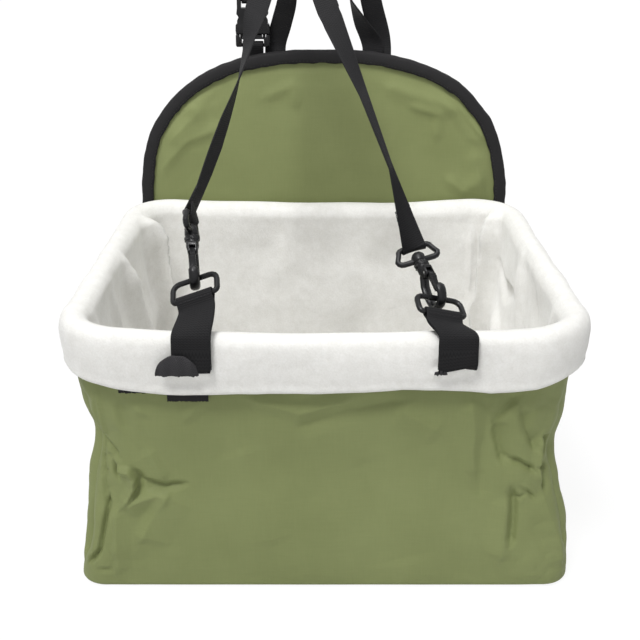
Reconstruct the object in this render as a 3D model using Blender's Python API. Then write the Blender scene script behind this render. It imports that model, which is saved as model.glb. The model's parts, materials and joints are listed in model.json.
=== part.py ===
"""Dog car seat: a soft booster basket with a fleece lining, a back panel, straps and snap hooks.

The origin is the middle of the underside of the base. +X is to the right, the front faces -Y, and +Z is up.
All sizes are in metres.
"""

import math

import bmesh
import bpy
from mathutils import Matrix, Vector

# Space kept between pieces that touch, and how far a cut runs past what it cuts.
GAP = 0.0003
OVERRUN = 0.002

# The basket.
BASE_WIDTH = 0.410
BASE_DEPTH = 0.300
RIM_HEIGHT = 0.2175
RIM_RISE = 0.0105
RIM_CORNER_RISE = 0.0060
WALL = 0.0020
BASE_CORNER = 0.024
RIM_CORNER = 0.042
BASE_EDGE = 0.0030
BASE_TAPER_SHARE = 0.045
RIM_TAPER_SHARE = 0.105
BOARD_THICKNESS = 0.0030
BOARD_CLEARANCE = 0.0030
ROD_RADIUS = 0.0030

# Half width and half depth of the tub up its height, as shares of the base's. The soft sides draw in.
WIDTH_SHARES = (
    (0.0, 1.0), (0.14, 0.983), (0.32, 0.962), (0.43, 0.944), (0.52, 0.926),
    (0.60, 0.920), (0.69, 0.946), (0.81, 0.965), (0.92, 0.974), (1.0, 0.978),
)
DEPTH_SHARES = (
    (0.0, 1.0), (0.14, 1.006), (0.32, 1.002), (0.43, 0.990), (0.52, 0.985),
    (0.60, 0.986), (0.69, 0.992), (0.81, 1.0), (0.92, 1.0), (1.0, 1.0),
)

# The main folds: place across and along as shares of the half sizes, height share, width share of the
# base depth, reach share of the rim height, and depth.
FOLD_DEPTH = 0.0055
FOLD_SHARES = (
    (-0.86, -1.0, 0.50, 0.045, 0.26, 1.0),
    (-0.70, -1.0, 0.34, 0.050, 0.18, 0.6),
    (0.88, -1.0, 0.46, 0.045, 0.30, 1.0),
    (1.0, -0.62, 0.40, 0.070, 0.25, 0.9),
    (-1.0, -0.55, 0.44, 0.070, 0.25, 0.9),
    (1.0, 0.50, 0.45, 0.080, 0.28, 0.8),
    (-1.0, 0.45, 0.45, 0.080, 0.28, 0.8),
)

# The fleece lining and its cuff.
FLEECE = 0.0055
CUFF_DROP = 0.045
HEM_CORNER_RISE = 0.0040
CUFF_SPACE = 0.0042
CUFF_PLY = 0.0040
CUFF_PUFF = 0.0030
CUFF_TOP = 0.0046
SLIT_BASE_HEIGHT = 0.1955
SLIT_HEIGHT = 0.0130
SLIT_CLEARANCE = 0.0006

# The back panel.
PANEL_WIDTH = 0.358
PANEL_HEIGHT = 0.384
PANEL_SPRING = 0.236
PANEL_ARCH_POWER = 2.5
PANEL_FOOT = 0.0040
PANEL_FABRIC = 0.0010
PANEL_BOARD = 0.0026
PANEL_BOARD_INSET = 0.0090
BINDING_WIDTH = 0.0105
BINDING_THICKNESS = 0.0010

# Webbing.
STRAP_WIDTH = 0.0200
STRAP_THICKNESS = 0.0015
TAB_WIDTH = 0.0300
TAB_THICKNESS = 0.0014
STRAP_TAIL = 0.0160
STRAP_NECK = 0.0105

# Rings in their tabs.
TAB_SPREAD = 0.1005
TAB_BURIED = 0.0060
TAB_NECK = 0.0072
RING_WIDTH = 0.0420
RING_HEIGHT = 0.0225
RING_WIRE = 0.0046
RING_CORNER = 0.0085
RING_FOOT_CORNER = 0.0056

# How each side hangs: a lean is an angle back from upright, a slant is an angle towards +X, and a turn
# is an angle round the piece's own line, from +X towards its front.
LEFT_TAB_REACH = 0.0300
RIGHT_TAB_REACH = 0.0215
LEFT_TAB_LEAN = math.radians(44.0)
RIGHT_TAB_LEAN = math.radians(60.0)
LEFT_TAB_SLANT = math.radians(3.0)
RIGHT_TAB_SLANT = math.radians(-29.0)
LEFT_RING_LEAN = math.radians(62.0)
RIGHT_RING_LEAN = math.radians(70.0)
LEFT_RING_SLANT = math.radians(-5.0)
RIGHT_RING_SLANT = math.radians(-8.0)
LEFT_RING_TURN = math.radians(22.0)
RIGHT_RING_TURN = math.radians(-19.0)
LEFT_HOOK_LEAN = math.radians(45.0)
RIGHT_HOOK_LEAN = math.radians(59.0)
LEFT_HOOK_SLANT = math.radians(-5.6)
RIGHT_HOOK_SLANT = math.radians(-18.0)
LEFT_HOOK_TURN = math.radians(88.0)
RIGHT_HOOK_TURN = math.radians(74.0)
LEFT_EYE_TURN = math.radians(100.0)
RIGHT_EYE_TURN = math.radians(4.0)
LEFT_BOW = 0.0045
RIGHT_BOW = 0.0055

# The front straps from the eye up to the headrest: place along, bow, and turn of each side.
BOW_SHARES = ((0.32, 0.75), (0.55, 1.0), (0.77, 0.6))
LEFT_TURNS = (math.radians(102.0), math.radians(79.0), math.radians(54.0))
RIGHT_TURNS = (math.radians(3.0), math.radians(2.0), math.radians(0.0))

# The loops over the headrest.
HEADREST_FRONT = 0.060
HEADREST_HEIGHT = 0.447
HEADREST_RUN = 0.036
HEADREST_CREST = 0.502
LEFT_FRONT_X = -0.0550
LEFT_REAR_X = -0.0346
LEFT_PANEL_X = -0.0465
RIGHT_FRONT_X = 0.0005
RIGHT_REAR_X = 0.0255
RIGHT_PANEL_X = 0.0470
REAR_KNEE_HEIGHT = 0.432
LEFT_REAR_LIFT = 0.0070
ARCH_REAR_LIFT = 0.0050
RIGHT_REAR_LIFT = 0.0025
LEFT_REAR_TURN = math.radians(-25.0)
RIGHT_REAR_TURN = math.radians(-88.0)
ANCHOR_HEIGHT = 0.326
ARCH_LEFT_X = -0.0680
ARCH_LEFT_PANEL_X = -0.0715
ARCH_RIGHT_X = 0.0445
ARCH_RIGHT_PANEL_X = 0.0550
ARCH_CREST = 0.531
PATCH_WIDTH = 0.0560
PATCH_HEIGHT = 0.0260
PATCH_THICKNESS = 0.0010

# The swivel snap hook.
EYE_WIDTH = 0.0380
EYE_TOP_WIDTH = 0.0320
EYE_HEIGHT = 0.0190
EYE_BAR = 0.0048
EYE_CORNER = 0.0040
BARREL_RADIUS = 0.0056
BARREL_HEIGHT = 0.0070
POST_RADIUS = 0.0024
HEAD_RADIUS = 0.0042
HEAD_HEIGHT = 0.0020
COLLAR_RADIUS = 0.0056
COLLAR_HEIGHT = 0.0050
COLLAR_GROOVE = 0.0006
BIGHT_RADIUS = 0.0100
HOOK_DEPTH = 0.0054
HOOK_THICKNESS = 0.0080
HOOK_LENGTH = 0.0280
HOOK_PLAY = 0.0007
GATE_DEPTH = 0.0032
GATE_THICKNESS = 0.0042
GATE_SLOT = 0.0048
PIN_RADIUS = 0.0010
THUMB_LENGTH = 0.0070
THUMB_RISE = 0.0026

# The tri-glide slider.
SLIDER_LENGTH = 0.0220
SLIDER_RAIL = 0.0026
SLIDER_BAR = 0.0036
SLIDER_SKIN = 0.0022
SLIDER_PLACE = 0.0180

# The side-release buckle.
BUCKLE_WIDTH = 0.0326
BUCKLE_NECK_WIDTH = 0.0290
BUCKLE_THICKNESS = 0.0090
FEMALE_BASE = 0.0120
FEMALE_LENGTH = 0.0245
FEMALE_EYE = 0.0092
CAVITY_HALF_WIDTH = 0.0127
CAVITY_HALF_THICKNESS = 0.0028
BUCKLE_BAR = 0.0030
BAR_REACH_SHARE = math.sqrt(0.5)
NOTCH_RADIUS = 0.0062
NOTCH_HEIGHT = 0.0262
NOTCH_BITE = 0.0034
TONGUE_HALF_WIDTH = 0.0030
PRONG_ROOT = 0.0090
PRONG_LENGTH = 0.0205
PRONG_WIDTH = 0.0026
PRONG_SPREAD = 0.0108
PRONG_BULGE = 0.0026
PRONG_SHOULDER = 0.0132
BUCKLE_HEIGHT = 0.3868

# The tapes under the cuff, and the facings of the slits.
TAPE_THICKNESS = 0.0012
TAPE_DROP = 0.0066
TAPE_LAP = 0.0045
OUTER_TAPE_X = -0.1480
OUTER_TAPE_WIDTH = 0.0230
INNER_TAPE_X = -0.1060
INNER_TAPE_WIDTH = 0.0320
FACING_THICKNESS = 0.0009
FACING_LIFT = 0.0030
LEFT_FACING_WIDTH = 0.0330
LEFT_FACING_HEIGHT = 0.0170
LEFT_FACING_SHIFT = -0.0110
RIGHT_FACING_WIDTH = 0.0100
RIGHT_FACING_HEIGHT = 0.0165
RIGHT_FACING_SHIFT = -0.0130

# Counts.
CORNER_STEPS = 4
FRONT_STEPS = 10
SIDE_STEPS = 6
ARCH_STEPS = 26
SECTION_SIDES = 8
LATHE_SIDES = 24
ROUTE_STEPS = 5

X_AXIS = Vector((1.0, 0.0, 0.0))
Y_AXIS = Vector((0.0, 1.0, 0.0))
Z_AXIS = Vector((0.0, 0.0, 1.0))


def clear_scene():
    for thing in list(bpy.data.objects):
        bpy.data.objects.remove(thing, do_unlink=True)


def material(name, colour, roughness):
    paint = bpy.data.materials.new(name)
    paint.use_nodes = True
    shader = paint.node_tree.nodes["Principled BSDF"]
    shader.inputs["Base Color"].default_value = (*colour, 1.0)
    shader.inputs["Roughness"].default_value = roughness
    shader.inputs["Metallic"].default_value = 0.0
    paint.diffuse_color = (*colour, 1.0)
    return paint


def add_object(name, mesh_builder, paint, place=None):
    """One object from a filled bmesh, with its faces pointing out."""
    bmesh.ops.recalc_face_normals(mesh_builder, faces=mesh_builder.faces)
    mesh = bpy.data.meshes.new(name)
    mesh_builder.to_mesh(mesh)
    mesh_builder.free()
    thing = bpy.data.objects.new(name, mesh)
    bpy.context.scene.collection.objects.link(thing)
    if place is not None:
        thing.matrix_world = place
    if paint is None:
        thing.hide_render = True
        thing.display_type = "WIRE"
    else:
        mesh.materials.append(paint)
    return thing


def level(row):
    """The height of a ring of vertices, to tell which of two is the lower."""
    return sum(corner.co.z for corner in row)


def loft(rings, closed=False, split=0):
    """A bmesh skin through rings of equal counts, capped at both ends or joined end to end.

    A split skin has triangles, so that two skins which lie close together keep their gap. The first
    faces of each band, as many as split says, are cut from the lower ring's point to the upper ring's
    next point, and the rest the other way, which makes a strap's two sides match.
    """
    skin = bmesh.new()
    rows = [[skin.verts.new(point) for point in ring] for ring in rings]
    count = len(rows[0])
    pairs = list(zip(rows, rows[1:]))
    if closed:
        pairs.append((rows[-1], rows[0]))
    for low, high in pairs:
        falls = level(low) > level(high)
        for i in range(count):
            j = (i + 1) % count
            if split and falls == (i < split):
                skin.faces.new((low[i], low[j], high[i]))
                skin.faces.new((low[j], high[j], high[i]))
            elif split:
                skin.faces.new((low[i], low[j], high[j]))
                skin.faces.new((low[i], high[j], high[i]))
            else:
                skin.faces.new((low[i], low[j], high[j], high[i]))
    if not closed:
        skin.faces.new(reversed(rows[0]))
        skin.faces.new(rows[-1])
    return skin


def along(shares, place):
    """The value of a table of shares at a place, straight between its rows."""
    for (low, first), (high, last) in zip(shares, shares[1:]):
        if place <= high:
            part = max(0.0, (place - low) / (high - low))
            return first + (last - first) * part
    return shares[-1][1]


def oval(half_across, half_up, sides=SECTION_SIDES):
    """The points of a rounded section, flatter than an ellipse."""
    points = []
    for i in range(sides):
        turn = 2.0 * math.pi * (i + 0.5) / sides
        points.append((half_across * math.cos(turn), half_up * math.sin(turn)))
    return points


def block(size, centre, bevel=0.0):
    """A bmesh block of a size about a centre, with its edges bevelled."""
    solid = bmesh.new()
    bmesh.ops.create_cube(solid, size=1.0)
    bmesh.ops.scale(solid, vec=size, verts=solid.verts)
    bmesh.ops.translate(solid, vec=centre, verts=solid.verts)
    if bevel:
        bmesh.ops.bevel(
            solid, geom=list(solid.edges), offset=bevel, offset_type="OFFSET",
            segments=1, profile=0.5, affect="EDGES",
        )
    return solid


def turned(profile, sides=LATHE_SIDES):
    """A bmesh turned about Z from rows of radius and height."""
    rings = []
    for radius, height in profile:
        ring = []
        for i in range(sides):
            turn = 2.0 * math.pi * i / sides
            ring.append(Vector((radius * math.cos(turn), radius * math.sin(turn), height)))
        rings.append(ring)
    return loft(rings)


def boolean(thing, other, operation):
    step = thing.modifiers.new(operation.lower() + "_" + other.name, "BOOLEAN")
    step.operation = operation
    step.solver = "EXACT"
    step.object = other


def cut(thing, name, mesh_builder, place=None):
    boolean(thing, add_object(name, mesh_builder, None, place), "DIFFERENCE")


def join(thing, name, mesh_builder, place=None):
    boolean(thing, add_object(name, mesh_builder, None, place), "UNION")


def smooth(thing, angle=math.radians(35.0)):
    thing.data.shade_smooth()
    thing.data.set_sharp_from_angle(angle=angle)


# The tub's outline, which every layer of the basket follows.

def rounded_outline(half_x, half_y, radius):
    """Points round a rounded rectangle from the front right, each with its outward direction."""
    flat_x = half_x - radius
    flat_y = half_y - radius
    corners = (
        (flat_x, -flat_y, -0.5), (flat_x, flat_y, 0.0), (-flat_x, flat_y, 0.5), (-flat_x, -flat_y, 1.0),
    )
    steps = (SIDE_STEPS, FRONT_STEPS, SIDE_STEPS, FRONT_STEPS)
    arcs = []
    for x, y, start in corners:
        arc = []
        for i in range(CORNER_STEPS + 1):
            turn = math.pi * (start + 0.5 * i / CORNER_STEPS)
            way = Vector((math.cos(turn), math.sin(turn), 0.0))
            arc.append((Vector((x, y, 0.0)) + way * radius, way))
        arcs.append(arc)
    points = []
    for i, arc in enumerate(arcs):
        points.extend(arc)
        (start, way), (end, _) = arc[-1], arcs[(i + 1) % len(arcs)][0]
        for k in range(1, steps[i]):
            points.append((start.lerp(end, k / steps[i]), way))
    return points


def fold_depth(point, share):
    """How far the folds draw the wall in at a place."""
    depth = 0.0
    for across, along_share, height, width, reach, size in FOLD_SHARES:
        centre = Vector((across * BASE_WIDTH / 2, along_share * BASE_DEPTH / 2, 0.0))
        flat = (point - centre).length / (width * BASE_DEPTH)
        tall = (share - height) / reach
        depth += size * FOLD_DEPTH * math.exp(-flat * flat - tall * tall)
    return depth


def rim_rise(share, side, back):
    """How much higher a place is than at the front middle: the rim climbs to the rear and to the corners."""
    return share * share * (RIM_RISE * back + RIM_CORNER_RISE * side * side)


def tub_ring(height, offset):
    """The tub's outline at a height, moved outwards by an offset."""
    share = min(1.0, height / RIM_HEIGHT)
    half_x = along(WIDTH_SHARES, share) * BASE_WIDTH / 2
    half_y = along(DEPTH_SHARES, share) * BASE_DEPTH / 2
    radius = BASE_CORNER + (RIM_CORNER - BASE_CORNER) * share
    taper = BASE_TAPER_SHARE + (RIM_TAPER_SHARE - BASE_TAPER_SHARE) * share
    ring = []
    for point, way in rounded_outline(half_x, half_y, radius):
        moved = point + way * (offset - fold_depth(point, share))
        back = moved.y / BASE_DEPTH + 0.5
        rise = rim_rise(share, moved.x / half_x, back)
        ring.append(Vector((moved.x * (1.0 - taper * back), moved.y, height + rise)))
    return ring


def front_face(height):
    """How far forward the tub's flat front stands at a height."""
    return -along(DEPTH_SHARES, min(1.0, height / RIM_HEIGHT)) * BASE_DEPTH / 2


def front_point(x, height, offset, edge=0.0):
    """A point in front of the tub's flat front. The edge is how far out from x the rim is cleared."""
    share = min(1.0, height / RIM_HEIGHT)
    half = along(WIDTH_SHARES, share) * BASE_WIDTH / 2
    rise = rim_rise(share, (abs(x) + edge) / half, 0.0)
    return Vector((x, front_face(height) - offset, height + rise))


def wall_heights(low, high):
    """The heights of the tables of shares between two heights."""
    inside = [share * RIM_HEIGHT for share, _ in WIDTH_SHARES]
    return [low] + [height for height in inside if low + BASE_EDGE < height < high - GAP] + [high]


FLOOR_TOP = WALL + GAP + BOARD_THICKNESS + GAP + FLEECE
LINER_FOOT = FLOOR_TOP - FLEECE + BASE_EDGE


def outer_shell(paint):
    rings = [tub_ring(0.0, -BASE_EDGE)]
    rings += [tub_ring(height, 0.0) for height in wall_heights(BASE_EDGE, RIM_HEIGHT)]
    rings += [tub_ring(height, -WALL) for height in reversed(wall_heights(LINER_FOOT, RIM_HEIGHT))]
    rings.append(tub_ring(WALL + BASE_EDGE, -WALL))
    rings.append(tub_ring(WALL, -WALL - BASE_EDGE))
    smooth(add_object("outer_shell", loft(rings, split=len(rings[0])), paint))


def base_board(paint):
    inset = -WALL - BOARD_CLEARANCE
    low = WALL + GAP
    rings = [tub_ring(low, inset), tub_ring(low + BOARD_THICKNESS, inset)]
    add_object("base_board", loft(rings), paint)


def rim_frame(paint):
    """The rod bent round the rim. It stands on the shell's top edge, inside the turned-over lining."""
    sides = 6
    rings = []
    for i in range(sides):
        turn = 2.0 * math.pi * (i + 0.5) / sides
        offset = -WALL / 2 + ROD_RADIUS * math.cos(turn)
        lift = GAP + ROD_RADIUS + ROD_RADIUS * math.sin(turn)
        rings.append([point + Z_AXIS * lift for point in tub_ring(RIM_HEIGHT, offset)])
    smooth(add_object("rim_frame", loft(rings, closed=True), paint))


# The cuff's outer face: share of its drop up from its lower edge, and how much of the puff it has.
CUFF_SHARES = ((0.06, 0.25), (0.3, 0.62), (0.55, 0.95), (0.78, 1.0), (0.93, 0.6))
LINER_TOP = RIM_HEIGHT + GAP + 2 * ROD_RADIUS + GAP + CUFF_TOP
CUFF_BASE = LINER_TOP - CUFF_DROP
CUFF_OUTER = CUFF_SPACE + CUFF_PLY + CUFF_PUFF


def cuff_offset(share):
    """How far the cuff's outer face stands off the shell at a share of its drop."""
    return CUFF_SPACE + CUFF_PLY + CUFF_PUFF * along(CUFF_SHARES, share)


def lifted_ring(height, offset):
    """A ring that may lie above the rim, where the outline stays the rim's."""
    level = min(height, RIM_HEIGHT)
    return [point + Z_AXIS * (height - level) for point in tub_ring(level, offset)]


def cuff_ring(share, offset):
    """A ring of the cuff at a share of its drop. The hem is drawn up towards the corners."""
    ring = lifted_ring(CUFF_BASE + share * CUFF_DROP, offset)
    half = BASE_WIDTH / 2
    lift = HEM_CORNER_RISE * (1.0 - share)
    return [point + Z_AXIS * lift * (point.x / half) ** 2 for point in ring]


def fleece_liner(paint):
    skin = -WALL - GAP
    rod_side = -WALL / 2 - ROD_RADIUS - GAP
    under_top = RIM_HEIGHT + GAP + 2 * ROD_RADIUS + GAP
    inner = skin - FLEECE
    rings = [lifted_ring(LINER_FOOT - BASE_EDGE, skin - BOARD_CLEARANCE)]
    high = RIM_HEIGHT * WIDTH_SHARES[-2][0]
    rings += [lifted_ring(height, skin) for height in wall_heights(LINER_FOOT, high)]
    rings.append(lifted_ring(RIM_HEIGHT, rod_side))
    rings.append(lifted_ring(under_top, rod_side))
    rings.append(lifted_ring(under_top, CUFF_SPACE))
    for share in (0.76, 0.38, 0.0):
        rings.append(cuff_ring(share, CUFF_SPACE))
    for share, _ in CUFF_SHARES:
        rings.append(cuff_ring(share, cuff_offset(share)))
    rings.append(lifted_ring(LINER_TOP, CUFF_SPACE))
    rings.append(lifted_ring(LINER_TOP - CUFF_TOP * 0.2, rod_side - FLEECE / 2))
    rings.append(lifted_ring(RIM_HEIGHT, rod_side - FLEECE))
    inside = wall_heights(FLOOR_TOP + FLEECE, RIM_HEIGHT * 0.9)
    rings += [lifted_ring(height, inner) for height in reversed(inside[::2])]
    rings.append(lifted_ring(FLOOR_TOP, inner - FLEECE))
    liner = add_object("fleece_liner", loft(rings, split=len(rings[0])), paint)
    for side, word in ((-1, "left"), (1, "right")):
        width = TAB_WIDTH + 2 * SLIT_CLEARANCE
        deep = CUFF_OUTER - CUFF_SPACE + 2 * OVERRUN
        middle = SLIT_BASE_HEIGHT + SLIT_HEIGHT / 2
        centre = front_point(side * TAB_SPREAD, middle, CUFF_SPACE - OVERRUN / 2 + deep / 2, TAB_WIDTH / 2)
        cut(liner, "slit_cutter_" + word, block((width, deep, SLIT_HEIGHT), centre))
    smooth(liner)


# The back panel, drawn in its own plane: across, up the panel, and back through its thickness.

PANEL_LEAN = math.atan2(CUFF_OUTER, LINER_TOP)
PANEL_STACK = 2 * PANEL_FABRIC + PANEL_BOARD + 2 * GAP
PANEL_REST = BASE_DEPTH / 2 * max(share for _, share in DEPTH_SHARES) + BINDING_THICKNESS + 2 * GAP


def panel_point(across, up, back):
    """A point on the leaning panel, whose front face is at back 0."""
    y = PANEL_REST + up * math.sin(PANEL_LEAN) + back * math.cos(PANEL_LEAN)
    z = up * math.cos(PANEL_LEAN) - back * math.sin(PANEL_LEAN)
    return Vector((across, y, z))


def panel_outline(inset):
    """The panel's edge from its right foot, over the arch, to its left foot, as points across and up."""
    half = PANEL_WIDTH / 2 - inset
    rise = PANEL_HEIGHT - PANEL_SPRING - inset
    power = 2.0 / PANEL_ARCH_POWER
    points = [(half, PANEL_FOOT), (half, PANEL_SPRING / 2)]
    for i in range(ARCH_STEPS + 1):
        turn = math.pi * i / ARCH_STEPS
        across = math.copysign(abs(math.cos(turn)) ** power, math.cos(turn)) * half
        points.append((across, PANEL_SPRING + rise * abs(math.sin(turn)) ** power))
    points += [(-half, PANEL_SPRING / 2), (-half, PANEL_FOOT)]
    return points


def panel_plate(name, inset, front, back, paint):
    outline = panel_outline(inset)
    rings = [[panel_point(a, u, depth) for a, u in outline] for depth in (front, back)]
    add_object(name, loft(rings), paint)


def panel_binding(paint):
    """A folded tape round the edge: a U section swept along the outline."""
    outline = [Vector((a, u)) for a, u in panel_outline(0.0)]
    near = -GAP
    far = PANEL_STACK + GAP
    skin = BINDING_THICKNESS
    section = (
        (-GAP - skin, near - skin), (BINDING_WIDTH, near - skin), (BINDING_WIDTH, near), (-GAP, near),
        (-GAP, far), (BINDING_WIDTH, far), (BINDING_WIDTH, far + skin), (-GAP - skin, far + skin),
    )
    rings = []
    for i, point in enumerate(outline):
        before = outline[max(0, i - 1)]
        after = outline[min(len(outline) - 1, i + 1)]
        run = (after - before).normalized()
        inward = Vector((-run.y, run.x))
        rings.append([panel_point(*(point + inward * a), depth) for a, depth in section])
    smooth(add_object("panel_binding", loft(rings), paint))


def back_panel(green, black, board):
    front = 0.0
    middle = PANEL_FABRIC + GAP
    rear = middle + PANEL_BOARD + GAP
    panel_plate("panel_front", 0.0, front, PANEL_FABRIC, green)
    panel_plate("panel_board", PANEL_BOARD_INSET, middle, middle + PANEL_BOARD, board)
    panel_plate("panel_rear", 0.0, rear, rear + PANEL_FABRIC, green)
    panel_binding(black)


# Webbing.

def frame_at(pull, width):
    """Width and face directions square to a pull direction."""
    width = (width - pull * width.dot(pull)).normalized()
    return width, width.cross(pull).normalized()


def smooth_route(controls, steps=ROUTE_STEPS):
    """Points and width directions on a smooth curve through the controls, timed by their distances."""
    places = [point for point, _ in controls]
    gaps = [(after - before).length for before, after in zip(places, places[1:])]
    runs = [(after - before) / gap for before, after, gap in zip(places, places[1:], gaps)]
    slopes = [runs[0]]
    for i in range(1, len(runs)):
        total = gaps[i - 1] + gaps[i]
        slopes.append(runs[i - 1] * (gaps[i] / total) + runs[i] * (gaps[i - 1] / total))
    slopes.append(runs[-1])
    points = []
    for i, gap in enumerate(gaps):
        for k in range(steps):
            t = k / steps
            start = places[i] * (2 * t ** 3 - 3 * t * t + 1) + slopes[i] * (gap * (t ** 3 - 2 * t * t + t))
            end = places[i + 1] * (3 * t * t - 2 * t ** 3) + slopes[i + 1] * (gap * (t ** 3 - t * t))
            points.append((start + end, controls[i][1].lerp(controls[i + 1][1], t)))
    points.append(controls[-1])
    return points


def strap_frames(route, square=True):
    """Each route point with its width and face directions. The width is square to the route or as given."""
    frames = []
    last = len(route) - 1
    for i, (point, way) in enumerate(route):
        run = (route[min(last, i + 1)][0] - route[max(0, i - 1)][0]).normalized()
        width, face = frame_at(run, way)
        frames.append((point, width if square else way.normalized(), face))
    return frames


def webbing(name, frames, width, thickness, paint):
    """A flat strap through points with width and face directions."""
    rings = []
    for point, side, face in frames:
        across = side * width / 2
        up = face * thickness / 2
        rings.append([point - across - up, point + across - up, point + across + up, point - across + up])
    return add_object(name, loft(rings, split=2), paint)


def teardrop(bar, away, face, bar_radius, neck, thickness):
    """The centre line of a strap that goes round a bar and back, from the neck in front to the one behind."""
    radius = bar_radius + GAP + thickness / 2
    half = (thickness + GAP) / 2
    points = [bar + away * neck + face * half]
    steps = 6
    for i in range(steps + 1):
        turn = math.radians(-28.0) + math.radians(236.0) * i / steps
        points.append(bar + (face * math.cos(turn) - away * math.sin(turn)) * radius)
    points.append(bar + away * neck - face * half)
    return points


# The rings and hooks hang in a frame of their own on each side.

def direction(lean, slant):
    """The direction that leans back from upright and slants towards +X."""
    flat = math.cos(slant)
    return Vector((math.sin(slant), flat * math.sin(lean), flat * math.cos(lean)))


def turned_way(line, turn):
    """A direction square to a line, turned round it from +X towards the front."""
    width, face = frame_at(line, X_AXIS)
    return width * math.cos(turn) + face * math.sin(turn)


class Side:
    """The places and directions of one side's tab, ring, hook and strap."""

    def __init__(self, word, sign, front_x, reach, tab_way, ring_way, hook_way, turns, bow):
        self.word = word
        self.sign = sign
        self.bow = bow
        self.headrest = Vector((front_x, HEADREST_FRONT, HEADREST_HEIGHT))
        ring_turn, hook_turn, eye_turn = turns
        self.rim = front_point(sign * TAB_SPREAD, LINER_TOP, CUFF_SPACE, TAB_WIDTH / 2)
        self.tab_way = tab_way
        self.bar = self.rim + tab_way * reach
        self.ring_way = ring_way
        self.ring_width = turned_way(ring_way, ring_turn)
        self.ring_face = self.ring_width.cross(ring_way)
        self.grip = self.bar + ring_way * (RING_HEIGHT - RING_WIRE)

        self.hook_way = hook_way
        across = turned_way(hook_way, hook_turn)
        normal = turned_way(hook_way, hook_turn - math.radians(90.0))
        low = BIGHT_RADIUS - HOOK_DEPTH / 2 - RING_WIRE / 2 - HOOK_PLAY
        origin = self.grip + hook_way * low
        self.hook_place = placed(origin, across, normal, hook_way)
        base = origin + hook_way * (HOOK_LENGTH + COLLAR_HEIGHT + GAP)
        self.eye_width = turned_way(hook_way, eye_turn)
        self.eye_place = placed(base, self.eye_width, hook_way.cross(self.eye_width), hook_way)
        self.eye_bar = base + hook_way * (EYE_HEIGHT - EYE_BAR / 2)
        self.run = (self.headrest - self.eye_bar).normalized()


def placed(origin, x_way, y_way, z_way):
    """The matrix that puts a local frame at an origin on three directions."""
    turn = Matrix((x_way, y_way, z_way)).transposed()
    return Matrix.Translation(origin) @ turn.to_4x4()


def tab(side, paint):
    """Two plies of webbing from under the cuff, out of the slit, over the rim and round the ring's bar."""
    stack = 2 * TAB_THICKNESS + GAP
    inside = GAP + stack / 2
    outside = CUFF_OUTER + GAP + stack / 2
    x = side.sign * TAB_SPREAD

    def at(height, offset):
        return front_point(x, height, offset, TAB_WIDTH / 2)

    low = SLIT_BASE_HEIGHT
    away, _ = frame_at(side.ring_width, -side.tab_way)
    face = away.cross(side.ring_width)
    controls = [
        (at(low - TAB_BURIED, inside), X_AXIS),
        (at(low + SLIT_HEIGHT * 0.02, inside), X_AXIS),
        (at(low + SLIT_HEIGHT * 0.37, CUFF_SPACE), X_AXIS),
        (at(low + SLIT_HEIGHT * 0.62, CUFF_OUTER), X_AXIS),
        (at(low + SLIT_HEIGHT, outside + GAP), X_AXIS),
        (at(LINER_TOP - CUFF_TOP * 1.6, outside), X_AXIS),
        (at(LINER_TOP + CUFF_TOP * 0.2, outside - CUFF_TOP * 0.5), X_AXIS),
        (side.bar + away * (TAB_NECK * 1.3), side.ring_width),
        (side.bar + away * TAB_NECK, side.ring_width),
    ]
    middle = strap_frames(smooth_route(controls, 3), False)
    half = (TAB_THICKNESS + GAP) / 2
    front = [(point + out * half, way, out) for point, way, out in middle]
    rear = [(point - out * half, way, -out) for point, way, out in reversed(middle)]
    loop = teardrop(side.bar, away, face, RING_WIRE / 2, TAB_NECK, TAB_THICKNESS)
    bend = strap_frames([(point, side.ring_width) for point in loop])[1:-1]
    webbing("tab_" + side.word, front + bend + rear, TAB_WIDTH, TAB_THICKNESS, paint)


def ring(side, paint):
    """A rounded rectangle of round plastic wire. Its foot, in the tab, has the smaller corners."""
    half_x = (RING_WIDTH - RING_WIRE) / 2
    half_y = (RING_HEIGHT - RING_WIRE) / 2
    foot = RING_FOOT_CORNER - RING_WIRE / 2
    head = RING_CORNER - RING_WIRE / 2
    place = placed(side.bar + side.ring_way * half_y, side.ring_width, side.ring_way, side.ring_face)
    rings = []
    corners = ((1, -1, foot, -0.5), (1, 1, head, 0.0), (-1, 1, head, 0.5), (-1, -1, foot, 1.0))
    for x, y, radius, start in corners:
        centre = Vector((x * (half_x - radius), y * (half_y - radius), 0.0))
        for i in range(CORNER_STEPS + 1):
            turn = math.pi * (start + 0.5 * i / CORNER_STEPS)
            way = Vector((math.cos(turn), math.sin(turn), 0.0))
            section = oval(RING_WIRE / 2, RING_WIRE / 2)
            rings.append([centre + way * (radius + a) + Z_AXIS * b for a, b in section])
    smooth(add_object("ring_" + side.word, loft(rings, closed=True), paint, place))


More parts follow.
